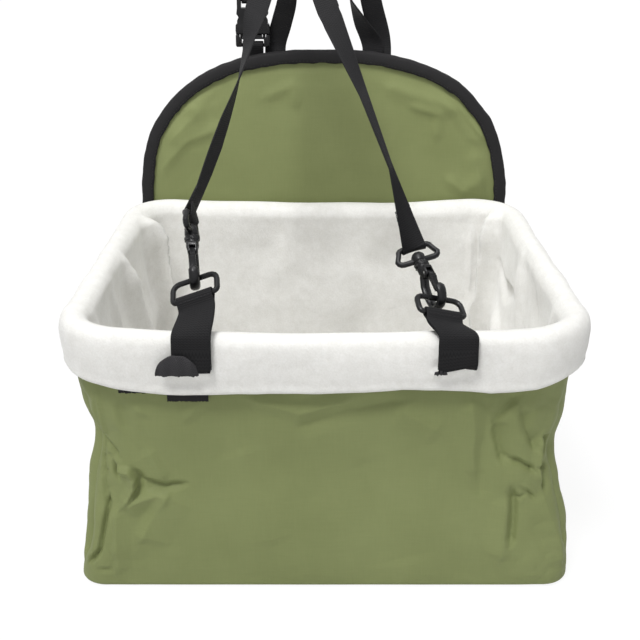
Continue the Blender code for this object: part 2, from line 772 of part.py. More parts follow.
def hook_eye(side, paint):
    """The strap eye: a tapering frame with the swivel barrel through its lower bar."""
    rings = []
    half_bar = EYE_BAR / 2
    low = (EYE_WIDTH / 2 - half_bar, half_bar)
    high = (EYE_TOP_WIDTH / 2 - half_bar, EYE_HEIGHT - half_bar)
    radius = EYE_CORNER
    corners = (
        (low[0] - radius, low[1] + radius, -0.5), (high[0] - radius, high[1] - radius, 0.0),
        (radius - high[0], high[1] - radius, 0.5), (radius - low[0], low[1] + radius, 1.0),
    )
    for x, z, start in corners:
        for i in range(CORNER_STEPS):
            turn = math.pi * (start + 0.5 * i / (CORNER_STEPS - 1))
            way = Vector((math.cos(turn), 0.0, math.sin(turn)))
            centre = Vector((x, 0.0, z)) + way * radius
            rings.append([centre + way * a + Y_AXIS * b for a, b in oval(half_bar, half_bar)])
    eye = add_object("hook_eye_" + side.word, loft(rings, closed=True), paint, side.eye_place)
    rim = BARREL_RADIUS * 0.9
    barrel = turned((
        (rim, 0.0), (BARREL_RADIUS, BARREL_HEIGHT * 0.12), (BARREL_RADIUS, BARREL_HEIGHT * 0.88),
        (rim, BARREL_HEIGHT),
    ))
    join(eye, "barrel_" + side.word, barrel, side.eye_place)
    bore = turned(((POST_RADIUS + GAP, -OVERRUN), (POST_RADIUS + GAP, BARREL_HEIGHT + OVERRUN)))
    cut(eye, "bore_" + side.word, bore, side.eye_place)
    smooth(eye)


def hook_path():
    """The hook's centre line across and up, from the neck down the shank and round to the nose."""
    points = [(0.0, HOOK_LENGTH * 0.86), (-BIGHT_RADIUS * 0.42, HOOK_LENGTH * 0.74)]
    points += [(-BIGHT_RADIUS * 0.84, HOOK_LENGTH * 0.54), (-BIGHT_RADIUS, HOOK_LENGTH * 0.3)]
    steps = 10
    for i in range(steps + 1):
        turn = math.pi * (1.0 + i / steps)
        points.append((BIGHT_RADIUS * math.cos(turn), BIGHT_RADIUS * math.sin(turn)))
    points.append((BIGHT_RADIUS * 0.94, BIGHT_RADIUS * 0.24))
    return points


# The gate's pin sits beside the neck. The gate hangs from it inside the nose.
PIN_ACROSS = BIGHT_RADIUS * 0.42
PIN_UP = HOOK_LENGTH * 0.70
GATE_OUTER = BIGHT_RADIUS - HOOK_DEPTH / 2 - GAP


def hook_body(side, paint):
    """The snap hook: shank, bight and nose in one bend, under a collar, a swivel post and its head."""
    line = hook_path()
    rings = []
    last = len(line) - 1
    for i, (x, z) in enumerate(line):
        before = line[max(0, i - 1)]
        after = line[min(last, i + 1)]
        run = Vector((after[0] - before[0], 0.0, after[1] - before[1])).normalized()
        way = run.cross(Y_AXIS)
        size = 0.72 if i == last else 1.0
        section = oval(HOOK_DEPTH / 2 * size, HOOK_THICKNESS / 2 * size, 10)
        rings.append([Vector((x, 0.0, z)) + way * a + Y_AXIS * b for a, b in section])
    hook = add_object("hook_body_" + side.word, loft(rings), paint, side.hook_place)
    top = HOOK_LENGTH + COLLAR_HEIGHT
    groove = COLLAR_RADIUS - COLLAR_GROOVE
    head_base = top + GAP + BARREL_HEIGHT + GAP
    neck = turned((
        (COLLAR_RADIUS * 0.62, HOOK_LENGTH * 0.66), (COLLAR_RADIUS * 0.9, HOOK_LENGTH * 0.84),
        (COLLAR_RADIUS * 0.9, HOOK_LENGTH), (COLLAR_RADIUS, HOOK_LENGTH + COLLAR_HEIGHT * 0.1),
        (COLLAR_RADIUS, HOOK_LENGTH + COLLAR_HEIGHT * 0.36), (groove, HOOK_LENGTH + COLLAR_HEIGHT * 0.44),
        (groove, HOOK_LENGTH + COLLAR_HEIGHT * 0.56), (COLLAR_RADIUS, HOOK_LENGTH + COLLAR_HEIGHT * 0.64),
        (COLLAR_RADIUS, HOOK_LENGTH + COLLAR_HEIGHT * 0.92), (COLLAR_RADIUS * 0.92, top),
        (POST_RADIUS, top), (POST_RADIUS, head_base),
        (HEAD_RADIUS, head_base), (HEAD_RADIUS, head_base + HEAD_HEIGHT * 0.5),
        (HEAD_RADIUS * 0.7, head_base + HEAD_HEIGHT),
    ))
    join(hook, "neck_" + side.word, neck, side.hook_place)
    cheek_high = HOOK_LENGTH * 0.34
    cheek = block(
        (PIN_ACROSS * 1.7, HOOK_THICKNESS, cheek_high),
        Vector((PIN_ACROSS * 0.85, 0.0, PIN_UP + cheek_high * 0.14)), HOOK_THICKNESS * 0.12,
    )
    join(hook, "cheeks_" + side.word, cheek, side.hook_place)
    slot_wide = BIGHT_RADIUS
    slot = block(
        (slot_wide, GATE_SLOT, HOOK_LENGTH * 0.40),
        Vector((PIN_ACROSS - GATE_DEPTH * 0.72 + slot_wide / 2, 0.0, PIN_UP - HOOK_LENGTH * 0.10)),
    )
    cut(hook, "gate_slot_" + side.word, slot, side.hook_place)
    cut(hook, "pin_bore_" + side.word, pin_shape(PIN_RADIUS + GAP, HOOK_THICKNESS + OVERRUN), side.hook_place)
    smooth(hook)


def pin_shape(radius, length):
    """A cylinder across the hook at the gate's pin."""
    solid = turned(((radius, -length / 2), (radius, length / 2)), 12)
    turn = Matrix.Rotation(math.radians(90.0), 4, "X")
    bmesh.ops.transform(solid, matrix=turn, verts=solid.verts)
    bmesh.ops.translate(solid, vec=(PIN_ACROSS, 0.0, PIN_UP), verts=solid.verts)
    return solid


def hook_gate(side, paint):
    """The sprung gate: a flat lever with a thumb rib, drawn as an outline and given its thickness."""
    back = GATE_OUTER - GATE_DEPTH
    foot = BIGHT_RADIUS * -0.12
    thumb_low = PIN_UP - THUMB_LENGTH - GATE_DEPTH
    root = GATE_DEPTH * 0.62
    outline = [
        (back, foot + GATE_DEPTH * 0.4), (back + GATE_DEPTH * 0.4, foot), (GATE_OUTER, foot),
        (GATE_OUTER, BIGHT_RADIUS * 0.38), (GATE_OUTER + THUMB_RISE * 0.5, thumb_low),
        (GATE_OUTER + THUMB_RISE, thumb_low + THUMB_LENGTH * 0.3),
        (GATE_OUTER + THUMB_RISE * 0.7, thumb_low + THUMB_LENGTH * 0.45),
        (GATE_OUTER + THUMB_RISE, thumb_low + THUMB_LENGTH * 0.62),
        (GATE_OUTER + THUMB_RISE * 0.3, thumb_low + THUMB_LENGTH),
        (PIN_ACROSS + root, PIN_UP), (PIN_ACROSS + root * 0.7, PIN_UP + root * 0.7),
        (PIN_ACROSS, PIN_UP + root), (PIN_ACROSS - root * 0.7, PIN_UP + root * 0.7),
        (PIN_ACROSS - root, PIN_UP), (PIN_ACROSS - root * 0.4, PIN_UP - root * 1.6),
        (back, thumb_low),
    ]
    rings = [[Vector((x, y, z)) for x, z in outline] for y in (-GATE_THICKNESS / 2, GATE_THICKNESS / 2)]
    gate = add_object("hook_gate_" + side.word, loft(rings), paint, side.hook_place)
    bore = pin_shape(PIN_RADIUS + GAP, HOOK_THICKNESS + OVERRUN)
    cut(gate, "gate_bore_" + side.word, bore, side.hook_place)


def gate_pin(side, paint):
    pin = add_object("gate_pin_" + side.word, pin_shape(PIN_RADIUS, HOOK_THICKNESS), paint, side.hook_place)
    smooth(pin)


def slider(side, paint):
    """A tri-glide: two bars in front of the strap and one behind, between side rails."""
    skin = STRAP_THICKNESS / 2 + GAP
    deep = 2 * (skin + SLIDER_SKIN)
    inner = STRAP_WIDTH + 2 * GAP
    size = Vector((inner + 2 * SLIDER_RAIL, deep, SLIDER_LENGTH))
    centre = side.headrest + side.run * SLIDER_PLACE
    width, face = frame_at(side.run, X_AXIS)
    place = placed(centre, width, -face, side.run)
    glide = add_object("slider_" + side.word, block(size, Vector(), SLIDER_SKIN / 3), paint, place)
    passage = block((inner, 2 * skin, SLIDER_LENGTH + OVERRUN), Vector())
    cut(glide, "slider_passage_" + side.word, passage, place)
    window = SLIDER_LENGTH - 2 * SLIDER_BAR
    front_cut = block((inner, deep, window), Vector((0.0, -deep / 2, 0.0)))
    cut(glide, "slider_front_" + side.word, front_cut, place)
    end = (SLIDER_LENGTH - SLIDER_BAR) / 2 + OVERRUN
    for way, end_word in ((-1, "low"), (1, "high")):
        shift = way * (SLIDER_BAR / 2 + end / 2)
        rear_cut = block((inner, deep, end), Vector((0.0, deep / 2, shift)))
        cut(glide, "slider_" + end_word + "_" + side.word, rear_cut, place)


def rear_point(across, up, layer=0, lift=0.0):
    """A strap's centre line on the panel's rear face, clear of the binding if it is near the top."""
    seat = PANEL_STACK + GAP + STRAP_THICKNESS / 2 + layer * (STRAP_THICKNESS + GAP) + lift
    if up > ANCHOR_HEIGHT + PATCH_HEIGHT + GAP:
        seat += BINDING_THICKNESS + GAP
    return panel_point(across, up, seat)


def panel_part(across, top_across, layer=0, lift=0.0):
    """The stretch of a strap that lies on the panel, from its sewn end up to the top edge."""
    top = PANEL_HEIGHT - PANEL_BOARD_INSET
    controls = [(rear_point(across, ANCHOR_HEIGHT + PATCH_HEIGHT * k / 2, layer), X_AXIS) for k in (0, 1, 2)]
    under = (ANCHOR_HEIGHT + PATCH_HEIGHT + top) / 2
    controls.append((rear_point((across + top_across) / 2, under, layer), X_AXIS))
    controls.append((rear_point(top_across, top, layer, lift / 2), X_AXIS))
    return controls


HANG_Y = rear_point(0.0, PANEL_HEIGHT).y + STRAP_THICKNESS


def front_strap(side, panel_x, rear_x, lift, rear_turn, turns, paint):
    """From the panel's rear, over the headrest and down to the hook's eye, where it is sewn back."""
    run_end = side.headrest + side.run * HEADREST_RUN
    crest_y = (run_end.y + HANG_Y) / 2
    middle_x = (run_end.x + rear_x) / 2
    bar = side.eye_bar
    away, _ = frame_at(side.eye_width, side.run)
    face = side.eye_width.cross(away)
    half = face * ((STRAP_THICKNESS + GAP) / 2)
    low = bar + away * (STRAP_NECK + STRAP_TAIL)
    knee_way = Vector((math.cos(rear_turn), math.sin(rear_turn), 0.0))
    leave_way = Vector((math.cos(rear_turn / 2), math.sin(rear_turn / 2), 0.0))
    leave = Vector((panel_x, HANG_Y + lift, PANEL_HEIGHT + STRAP_THICKNESS * 2))
    climb = Vector(((panel_x + rear_x) / 2, HANG_Y + lift * 0.8, (PANEL_HEIGHT + REAR_KNEE_HEIGHT) / 2))
    shoulder = Vector((middle_x, HANG_Y - STRAP_WIDTH / 2, HEADREST_CREST - STRAP_WIDTH))
    controls = panel_part(panel_x, panel_x, 0, lift) + [
        (leave, X_AXIS.lerp(leave_way, 0.15)),
        (climb, leave_way),
        (Vector((rear_x, HANG_Y, REAR_KNEE_HEIGHT)), knee_way),
        (shoulder, X_AXIS.lerp(knee_way, 0.2)),
        (Vector((run_end.x, crest_y, HEADREST_CREST)), X_AXIS),
        (run_end + side.run * (STRAP_WIDTH / 2), X_AXIS),
        (run_end, X_AXIS),
        (side.headrest, X_AXIS),
        (side.headrest - side.run * (STRAP_WIDTH / 2), X_AXIS),
    ]
    for (place, share), turn in zip(reversed(BOW_SHARES), reversed(turns)):
        point = low.lerp(side.headrest, place) + X_AXIS * (side.bow * share)
        controls.append((point, turned_way(side.run, turn)))
    controls.append((low + half, side.eye_width))
    route = smooth_route(controls)
    loop = teardrop(bar, away, face, EYE_BAR / 2, STRAP_NECK, STRAP_THICKNESS)
    route += [(point, side.eye_width) for point in loop]
    route.append((low - half, side.eye_width))
    webbing("front_strap_" + side.word, strap_frames(route), STRAP_WIDTH, STRAP_THICKNESS, paint)


# The side-release buckle stands behind the panel's top edge. Its frame: across X, through Y, up Z.

BUCKLE_Y = HANG_Y + STRAP_THICKNESS
BUCKLE_PLACE = Matrix.Translation((ARCH_LEFT_X, BUCKLE_Y, BUCKLE_HEIGHT))
MALE_BAR = BUCKLE_BAR / 2
FEMALE_TOP = FEMALE_BASE + FEMALE_LENGTH + FEMALE_EYE
FEMALE_BAR = FEMALE_TOP - BUCKLE_BAR / 2


def tapered_plate(rows, thickness, rounding):
    """A plate from rows of half width and height, with its front and rear edges chamfered."""
    outline = [(half, height) for half, height in rows] + [(-half, height) for half, height in reversed(rows)]
    depth = thickness / 2
    rings = []
    for y, inset in ((-depth, rounding), (rounding - depth, 0.0), (depth - rounding, 0.0), (depth, rounding)):
        middle = (rows[0][1] + rows[-1][1]) / 2
        tall = rows[-1][1] - rows[0][1]
        ring_points = []
        for x, z in outline:
            narrow = x - math.copysign(inset, x)
            low = middle + (z - middle) * (1.0 - 2.0 * inset / tall)
            ring_points.append(Vector((narrow, y, low)))
        rings.append(ring_points)
    return loft(rings)


def thin_bar(thing, word, centre, clear):
    """Thins the buckle round one strap bar, in front of it and behind it."""
    bar = BUCKLE_BAR / 2
    deep = BUCKLE_THICKNESS
    for way, face in ((-1, "front"), (1, "rear")):
        shift = way * (bar + deep / 2)
        shape = block((STRAP_WIDTH + 2 * SLIT_CLEARANCE, deep, clear), Vector((0.0, shift, centre)))
        cut(thing, word + "_" + face, shape, BUCKLE_PLACE)


def buckle_female(paint):
    half = BUCKLE_WIDTH / 2
    neck = BUCKLE_NECK_WIDTH / 2
    top = FEMALE_BASE + FEMALE_LENGTH
    rows = (
        (half * 0.97, FEMALE_BASE), (half, FEMALE_BASE + FEMALE_EYE * 0.4), (half * 0.97, top * 0.72),
        (neck, top), (neck, FEMALE_TOP - BUCKLE_BAR / 3), (neck * 0.94, FEMALE_TOP),
    )
    plate = tapered_plate(rows, BUCKLE_THICKNESS, BUCKLE_BAR / 3)
    body = add_object("buckle_female", plate, paint, BUCKLE_PLACE)
    high = PRONG_LENGTH + OVERRUN
    cavity = block(
        (2 * CAVITY_HALF_WIDTH, 2 * CAVITY_HALF_THICKNESS, high + OVERRUN),
        Vector((0.0, 0.0, FEMALE_BASE - OVERRUN + (high + OVERRUN) / 2)),
    )
    cut(body, "buckle_cavity", cavity, BUCKLE_PLACE)
    window_low = PRONG_ROOT + PRONG_SHOULDER - GAP
    window = FEMALE_BASE + high - window_low
    sides = block(
        (BUCKLE_WIDTH + OVERRUN, 2 * CAVITY_HALF_THICKNESS, window),
        Vector((0.0, 0.0, window_low + window / 2)),
    )
    cut(body, "buckle_windows", sides, BUCKLE_PLACE)
    for way, word in ((-1, "left"), (1, "right")):
        notch = turned(((NOTCH_RADIUS, -BUCKLE_THICKNESS), (NOTCH_RADIUS, BUCKLE_THICKNESS)))
        turn = Matrix.Rotation(math.radians(90.0), 4, "X")
        bmesh.ops.transform(notch, matrix=turn, verts=notch.verts)
        reach = half + NOTCH_RADIUS - NOTCH_BITE
        bmesh.ops.translate(notch, vec=(way * reach, 0.0, NOTCH_HEIGHT), verts=notch.verts)
        cut(body, "buckle_notch_" + word, notch, BUCKLE_PLACE)
    slot_high = FEMALE_EYE - BUCKLE_BAR
    slot = block(
        (STRAP_WIDTH + 2 * SLIT_CLEARANCE, BUCKLE_THICKNESS + OVERRUN, slot_high),
        Vector((0.0, 0.0, FEMALE_TOP - BUCKLE_BAR - slot_high / 2)),
    )
    cut(body, "buckle_slot", slot, BUCKLE_PLACE)
    thin_bar(body, "female_bar", FEMALE_TOP - FEMALE_EYE / 2 + OVERRUN / 2, FEMALE_EYE + OVERRUN)
    smooth(body)


def buckle_male(paint):
    """The base with its strap bar, and the tongue between the arms."""
    half = BUCKLE_WIDTH / 2
    base_top = FEMALE_BASE - GAP
    high = base_top - BUCKLE_BAR / 3
    rows = ((half * 0.94, 0.0), (half, BUCKLE_BAR / 2), (half, high), (half * 0.97, base_top))
    plate = tapered_plate(rows, BUCKLE_THICKNESS * 0.86, BUCKLE_BAR / 4)
    body = add_object("buckle_male", plate, paint, BUCKLE_PLACE)
    tongue_high = PRONG_LENGTH
    tongue = block(
        (2 * TONGUE_HALF_WIDTH, 2 * (CAVITY_HALF_THICKNESS - GAP), tongue_high),
        Vector((0.0, 0.0, PRONG_ROOT + tongue_high / 2)), BUCKLE_BAR / 6,
    )
    join(body, "male_tongue", tongue, BUCKLE_PLACE)
    slot_high = STRAP_THICKNESS * 2 + BUCKLE_BAR * 0.35
    slot = block(
        (STRAP_WIDTH + 2 * SLIT_CLEARANCE, BUCKLE_THICKNESS + OVERRUN, slot_high),
        Vector((0.0, 0.0, BUCKLE_BAR + slot_high / 2)),
    )
    cut(body, "male_slot", slot, BUCKLE_PLACE)
    thin_bar(body, "male_bar", BUCKLE_BAR + slot_high / 2 - OVERRUN, slot_high + BUCKLE_BAR * 2)
    for way, word in ((-1, "left"), (1, "right")):
        pocket = PRONG_WIDTH + 4 * GAP
        shape = block(
            (pocket, BUCKLE_THICKNESS + OVERRUN, FEMALE_BASE - PRONG_ROOT + OVERRUN),
            Vector((way * PRONG_SPREAD, 0.0, (FEMALE_BASE + PRONG_ROOT + OVERRUN) / 2 - GAP)),
        )
        cut(body, "prong_pocket_" + word, shape, BUCKLE_PLACE)
    smooth(body)


def buckle_prong(way, word, paint):
    """A sprung arm whose outer bulge stands in the window of the female half."""
    near = PRONG_SPREAD - PRONG_WIDTH / 2
    far = PRONG_SPREAD + PRONG_WIDTH / 2
    shoulder = PRONG_ROOT + PRONG_SHOULDER
    tip = PRONG_ROOT + PRONG_LENGTH
    outline = [
        (near, PRONG_ROOT), (far, PRONG_ROOT), (far, shoulder),
        (far + PRONG_BULGE, shoulder), (far + PRONG_BULGE, shoulder + PRONG_BULGE),
        (far + PRONG_BULGE * 0.4, tip - PRONG_WIDTH / 2), (far - PRONG_WIDTH / 2, tip),
        (near, tip - PRONG_WIDTH / 2),
    ]
    depth = CAVITY_HALF_THICKNESS - GAP
    rings = [[Vector((way * x, y, z)) for x, z in outline] for y in (-depth, depth)]
    add_object("buckle_prong_" + word, loft(rings), paint, BUCKLE_PLACE)


def headrest_strap(paint):
    half = (STRAP_THICKNESS + GAP) / 2
    tail = STRAP_NECK + STRAP_TAIL / 2
    forward = -Y_AXIS
    reach = BUCKLE_BAR * BAR_REACH_SHARE
    male = Vector((ARCH_LEFT_X, BUCKLE_Y, BUCKLE_HEIGHT + MALE_BAR))
    loop = teardrop(male, -Z_AXIS, forward, reach, STRAP_NECK, STRAP_THICKNESS)
    route = smooth_route(panel_part(ARCH_LEFT_PANEL_X, ARCH_LEFT_X)) + [(point, X_AXIS) for point in loop]
    route.append((male - Z_AXIS * tail - forward * half, X_AXIS))
    webbing("headrest_strap_lower", strap_frames(route), STRAP_WIDTH, STRAP_THICKNESS, paint)

    female = Vector((ARCH_LEFT_X, BUCKLE_Y, BUCKLE_HEIGHT + FEMALE_BAR))
    loop = teardrop(female, Z_AXIS, forward, reach, STRAP_NECK, STRAP_THICKNESS)[::-1]
    slant = (X_AXIS + Y_AXIS).normalized()
    middle = (ARCH_LEFT_X + ARCH_RIGHT_X) / 2
    span = ARCH_RIGHT_X - ARCH_LEFT_X
    start = female + Z_AXIS * (tail + STRAP_NECK) + forward * half
    climb = ARCH_CREST - start.z
    leave = HANG_Y + RIGHT_REAR_LIFT + 2 * (STRAP_THICKNESS + GAP)
    controls = [
        (start, X_AXIS),
        (Vector((ARCH_LEFT_X + span * 0.05, HANG_Y, start.z + climb * 0.36)), slant),
        (Vector((ARCH_LEFT_X + span * 0.23, HANG_Y, start.z + climb * 0.80)), Y_AXIS),
        (Vector((middle, HANG_Y, ARCH_CREST)), Y_AXIS),
        (Vector((ARCH_RIGHT_X - span * 0.23, HANG_Y, start.z + climb * 0.80)), Y_AXIS),
        (Vector((ARCH_RIGHT_X - span * 0.05, HANG_Y, start.z + climb * 0.2)), slant),
        (Vector((ARCH_RIGHT_X, HANG_Y + ARCH_REAR_LIFT, REAR_KNEE_HEIGHT)), X_AXIS),
        (Vector((ARCH_RIGHT_PANEL_X, leave, PANEL_HEIGHT + STRAP_THICKNESS * 2)), X_AXIS),
    ]
    controls += reversed(panel_part(ARCH_RIGHT_PANEL_X, ARCH_RIGHT_PANEL_X, 1, RIGHT_REAR_LIFT))
    route = [(loop[0] + Z_AXIS * (tail - STRAP_NECK), X_AXIS)]
    route += [(point, X_AXIS) for point in loop] + smooth_route(controls)
    webbing("headrest_strap_upper", strap_frames(route), STRAP_WIDTH, STRAP_THICKNESS, paint)


def anchor_patch(word, centre_x, layers, paint):
    """A patch sewn over the strap ends on the panel's rear face."""
    near = PANEL_STACK + GAP + layers * (STRAP_THICKNESS + GAP)
    low = ANCHOR_HEIGHT - STRAP_THICKNESS
    rings = []
    for back in (near, near + PATCH_THICKNESS):
        rings.append([
            panel_point(centre_x + x * PATCH_WIDTH / 2, low + z * PATCH_HEIGHT, back)
            for x, z in ((-1, 0), (1, 0), (1, 1), (-1, 1))
        ])
    add_object("anchor_patch_" + word, loft(rings), paint)


def cuff_tape(word, x, width, paint):
    """A short tape on the shell's front, mostly hidden by the cuff."""
    high = CUFF_BASE + TAPE_LAP
    low = CUFF_BASE - TAPE_DROP
    rings = []
    for height in (low, high):
        foot = front_point(x, height, GAP)
        rings.append([
            foot + X_AXIS * (a * width / 2) - Y_AXIS * (b * TAPE_THICKNESS)
            for a, b in ((-1, 0), (1, 0), (1, 1), (-1, 1))
        ])
    add_object("cuff_tape_" + word, loft(rings), paint)


def slit_facing(side, width, height, shift, paint):
    """The slit's woven facing, pulled out in front of the tab: a half disc that bulges."""
    stack = 2 * TAB_THICKNESS + GAP
    near = CUFF_OUTER + 4 * GAP + stack + TAB_THICKNESS / 2
    foot = front_point(side.sign * TAB_SPREAD + shift, SLIT_BASE_HEIGHT + FACING_LIFT, near)
    steps = 8
    rings = []
    for i in range(steps + 1):
        place = -1.0 + 2.0 * i / steps
        reach = max(0.12, math.sqrt(max(0.0, 1.0 - place * place)))
        across = X_AXIS * (place * width / 2)
        bulge = STRAP_THICKNESS * reach
        column = []
        for share, puff in ((0.0, 0.2), (0.5, 1.0), (1.0, 0.1)):
            column.append(foot + across - Y_AXIS * (bulge * puff) + Z_AXIS * (share * reach * height))
        rings.append(column + [point - Y_AXIS * FACING_THICKNESS for point in reversed(column)])
    add_object("slit_facing_" + side.word, loft(rings), paint)


def build():
    clear_scene()
    green = material("green_oxford", (0.218, 0.254, 0.112), 0.75)
    fleece = material("pale_fleece", (0.80, 0.79, 0.75), 0.95)
    web = material("black_webbing", (0.022, 0.021, 0.023), 0.8)
    plastic = material("black_plastic", (0.018, 0.018, 0.020), 0.4)
    board = material("grey_board", (0.35, 0.35, 0.34), 0.8)
    steel = material("bright_steel", (0.55, 0.55, 0.56), 0.35)

    outer_shell(green)
    base_board(board)
    rim_frame(steel)
    fleece_liner(fleece)
    back_panel(green, web, board)
    cuff_tape("outer", OUTER_TAPE_X, OUTER_TAPE_WIDTH, web)
    cuff_tape("inner", INNER_TAPE_X, INNER_TAPE_WIDTH, web)

    left = Side(
        "left", -1, LEFT_FRONT_X, LEFT_TAB_REACH,
        direction(LEFT_TAB_LEAN, LEFT_TAB_SLANT), direction(LEFT_RING_LEAN, LEFT_RING_SLANT),
        direction(LEFT_HOOK_LEAN, LEFT_HOOK_SLANT), (LEFT_RING_TURN, LEFT_HOOK_TURN, LEFT_EYE_TURN), LEFT_BOW,
    )
    right = Side(
        "right", 1, RIGHT_FRONT_X, RIGHT_TAB_REACH,
        direction(RIGHT_TAB_LEAN, RIGHT_TAB_SLANT), direction(RIGHT_RING_LEAN, RIGHT_RING_SLANT),
        direction(RIGHT_HOOK_LEAN, RIGHT_HOOK_SLANT), (RIGHT_RING_TURN, RIGHT_HOOK_TURN, RIGHT_EYE_TURN),
        RIGHT_BOW,
    )
    for side in (left, right):
        tab(side, web)
        ring(side, plastic)
        hook_eye(side, plastic)
        hook_body(side, plastic)
        hook_gate(side, plastic)
        gate_pin(side, steel)
        slider(side, plastic)
    slit_facing(left, LEFT_FACING_WIDTH, LEFT_FACING_HEIGHT, LEFT_FACING_SHIFT, web)
    slit_facing(right, RIGHT_FACING_WIDTH, RIGHT_FACING_HEIGHT, RIGHT_FACING_SHIFT, web)
    front_strap(left, LEFT_PANEL_X, LEFT_REAR_X, LEFT_REAR_LIFT, LEFT_REAR_TURN, LEFT_TURNS, web)
    front_strap(
        right, RIGHT_PANEL_X, RIGHT_REAR_X, RIGHT_REAR_LIFT, RIGHT_REAR_TURN, RIGHT_TURNS, web,
    )

    buckle_female(plastic)
    buckle_male(plastic)
    buckle_prong(-1, "left", plastic)
    buckle_prong(1, "right", plastic)
    headrest_strap(web)
    anchor_patch("left", (LEFT_PANEL_X + ARCH_LEFT_PANEL_X) / 2, 1, web)
    anchor_patch("right", (RIGHT_PANEL_X + ARCH_RIGHT_PANEL_X) / 2, 2, web)


build()
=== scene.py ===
"""Dog car seat: a soft booster basket lined with fleece, a back panel, straps and snap hooks.

The pieces are made in the order the seat is put together: tub, hidden stiffeners, lining, back panel, straps
and tabs, tapes and patches, then rings, snap hooks, sliders and buckle. All sizes are in metres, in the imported
model's own frame.
"""

import json
import math

import bpy
import bmesh
import numpy as np
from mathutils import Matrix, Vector, noise


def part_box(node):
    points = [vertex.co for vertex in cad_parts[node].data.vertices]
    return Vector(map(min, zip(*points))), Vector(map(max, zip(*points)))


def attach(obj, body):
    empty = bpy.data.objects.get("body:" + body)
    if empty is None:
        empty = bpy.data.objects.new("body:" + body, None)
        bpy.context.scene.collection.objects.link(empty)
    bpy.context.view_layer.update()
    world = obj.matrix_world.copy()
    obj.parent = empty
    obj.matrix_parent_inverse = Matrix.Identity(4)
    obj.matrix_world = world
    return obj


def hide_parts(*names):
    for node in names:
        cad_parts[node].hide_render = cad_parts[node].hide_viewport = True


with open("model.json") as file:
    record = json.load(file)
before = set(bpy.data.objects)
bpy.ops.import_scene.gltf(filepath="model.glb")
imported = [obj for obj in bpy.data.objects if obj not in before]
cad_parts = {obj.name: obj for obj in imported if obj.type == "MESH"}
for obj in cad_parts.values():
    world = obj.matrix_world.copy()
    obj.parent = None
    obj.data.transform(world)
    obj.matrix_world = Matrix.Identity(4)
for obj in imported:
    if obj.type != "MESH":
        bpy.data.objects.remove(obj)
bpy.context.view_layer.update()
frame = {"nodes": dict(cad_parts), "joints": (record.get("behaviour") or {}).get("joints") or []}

nodes = frame["nodes"]
joints = {joint["name"]: joint for joint in frame["joints"]}
scene = bpy.context.scene
scene.view_settings.view_transform = "Standard"

# Studio
# The seat was photographed from the front and a little above, on white paper. The main light stands high in
# front and to the left, a weak one low in front and another overhead, a small lamp brightens the back panel,
# and the white room fills in the rest.

CAMERA_PLACE = (-0.0036, -0.98527, 0.58965)
CAMERA_TILT = math.radians(67.3)
CAMERA_LENS = 67.5
ROOM_LIGHT = 0.30
# Each light: the way towards it, how strong it is, and how wide it looks.
LIGHTS = (
    ((-0.30, -0.52, 1.06), 1.68, 15.0),
    ((0.05, -1.00, 0.35), 0.34, 60.0),
    ((-0.15, 0.05, 1.00), 0.30, 60.0),
)
PANEL_LAMP_PLACE = Vector((-0.06, -0.10, 0.86))
PANEL_LAMP_AIM = Vector((0.0, 0.14, 0.36))
PANEL_LAMP_POWER = 2.35
PANEL_LAMP_SIZE = 0.45
FLOOR_SIZE = 14.0
FLOOR_PLACE = (0.0, 2.0, -0.0006)
# The paper's own colour takes the shade, and a glow over most of it keeps it white in the picture.
PAPER_COLOUR = (0.80, 0.80, 0.80, 1.0)
PAPER_GLOW = 1.08
GLOW_SHARE = 0.84

bpy.ops.object.select_all(action="DESELECT")
bpy.ops.object.camera_add(location=CAMERA_PLACE, rotation=(CAMERA_TILT, 0.0, 0.0))
scene.camera = bpy.context.object
scene.camera.data.lens = CAMERA_LENS
scene.camera.data.sensor_width = 36.0


def lit(kind, place, way, power):
    """Adds a lamp at a place, where way points towards it from what it lights."""
    bpy.ops.object.light_add(type=kind, location=place)
    lamp = bpy.context.object
    lamp.data.energy = power
    lamp.rotation_euler = way.to_track_quat("Z", "Y").to_euler()
    return lamp.data


for way, power, wide in LIGHTS:
    lit("SUN", Vector(way) * 2.0, Vector(way), power).angle = math.radians(wide)
lit("AREA", PANEL_LAMP_PLACE, PANEL_LAMP_PLACE - PANEL_LAMP_AIM, PANEL_LAMP_POWER).size = PANEL_LAMP_SIZE


def fed(tree, node, inputs):
    """A node with its inputs joined to sockets or set to plain values."""
    for title, value in inputs.items():
        if isinstance(value, bpy.types.NodeSocket):
            tree.links.new(value, node.inputs[title])
        else:
            node.inputs[title].default_value = value
    return node


def added(tree, kind, inputs, **settings):
    """The outputs of a new shader node with these settings and inputs."""
    node = tree.nodes.new("ShaderNode" + kind)
    for key, value in settings.items():
        setattr(node, key, value)
    return fed(tree, node, inputs).outputs


def sum_node(tree, operation, *values):
    """A math node fed by sockets or numbers, giving its output."""
    return added(tree, "Math", dict(enumerate(values)), operation=operation)[0]


def seen_directly(tree):
    """One for camera, mirror and see-through rays, and nought for the rays that light things."""
    path = added(tree, "LightPath", {})
    either = sum_node(tree, "MAXIMUM", path["Is Camera Ray"], path["Is Glossy Ray"])
    return sum_node(tree, "MAXIMUM", either, path["Is Transmission Ray"])


def with_nodes(block):
    """A world or a material that uses nodes, with its tree."""
    block.use_nodes = True
    return block, block.node_tree


scene.world, tree = with_nodes(scene.world or bpy.data.worlds.new("room"))
strength = added(tree, "MapRange", {"Value": seen_directly(tree), "To Min": ROOM_LIGHT, "To Max": 1.0})
fed(tree, tree.nodes["Background"], {"Color": (1.0, 1.0, 1.0, 1.0), "Strength": strength["Result"]})

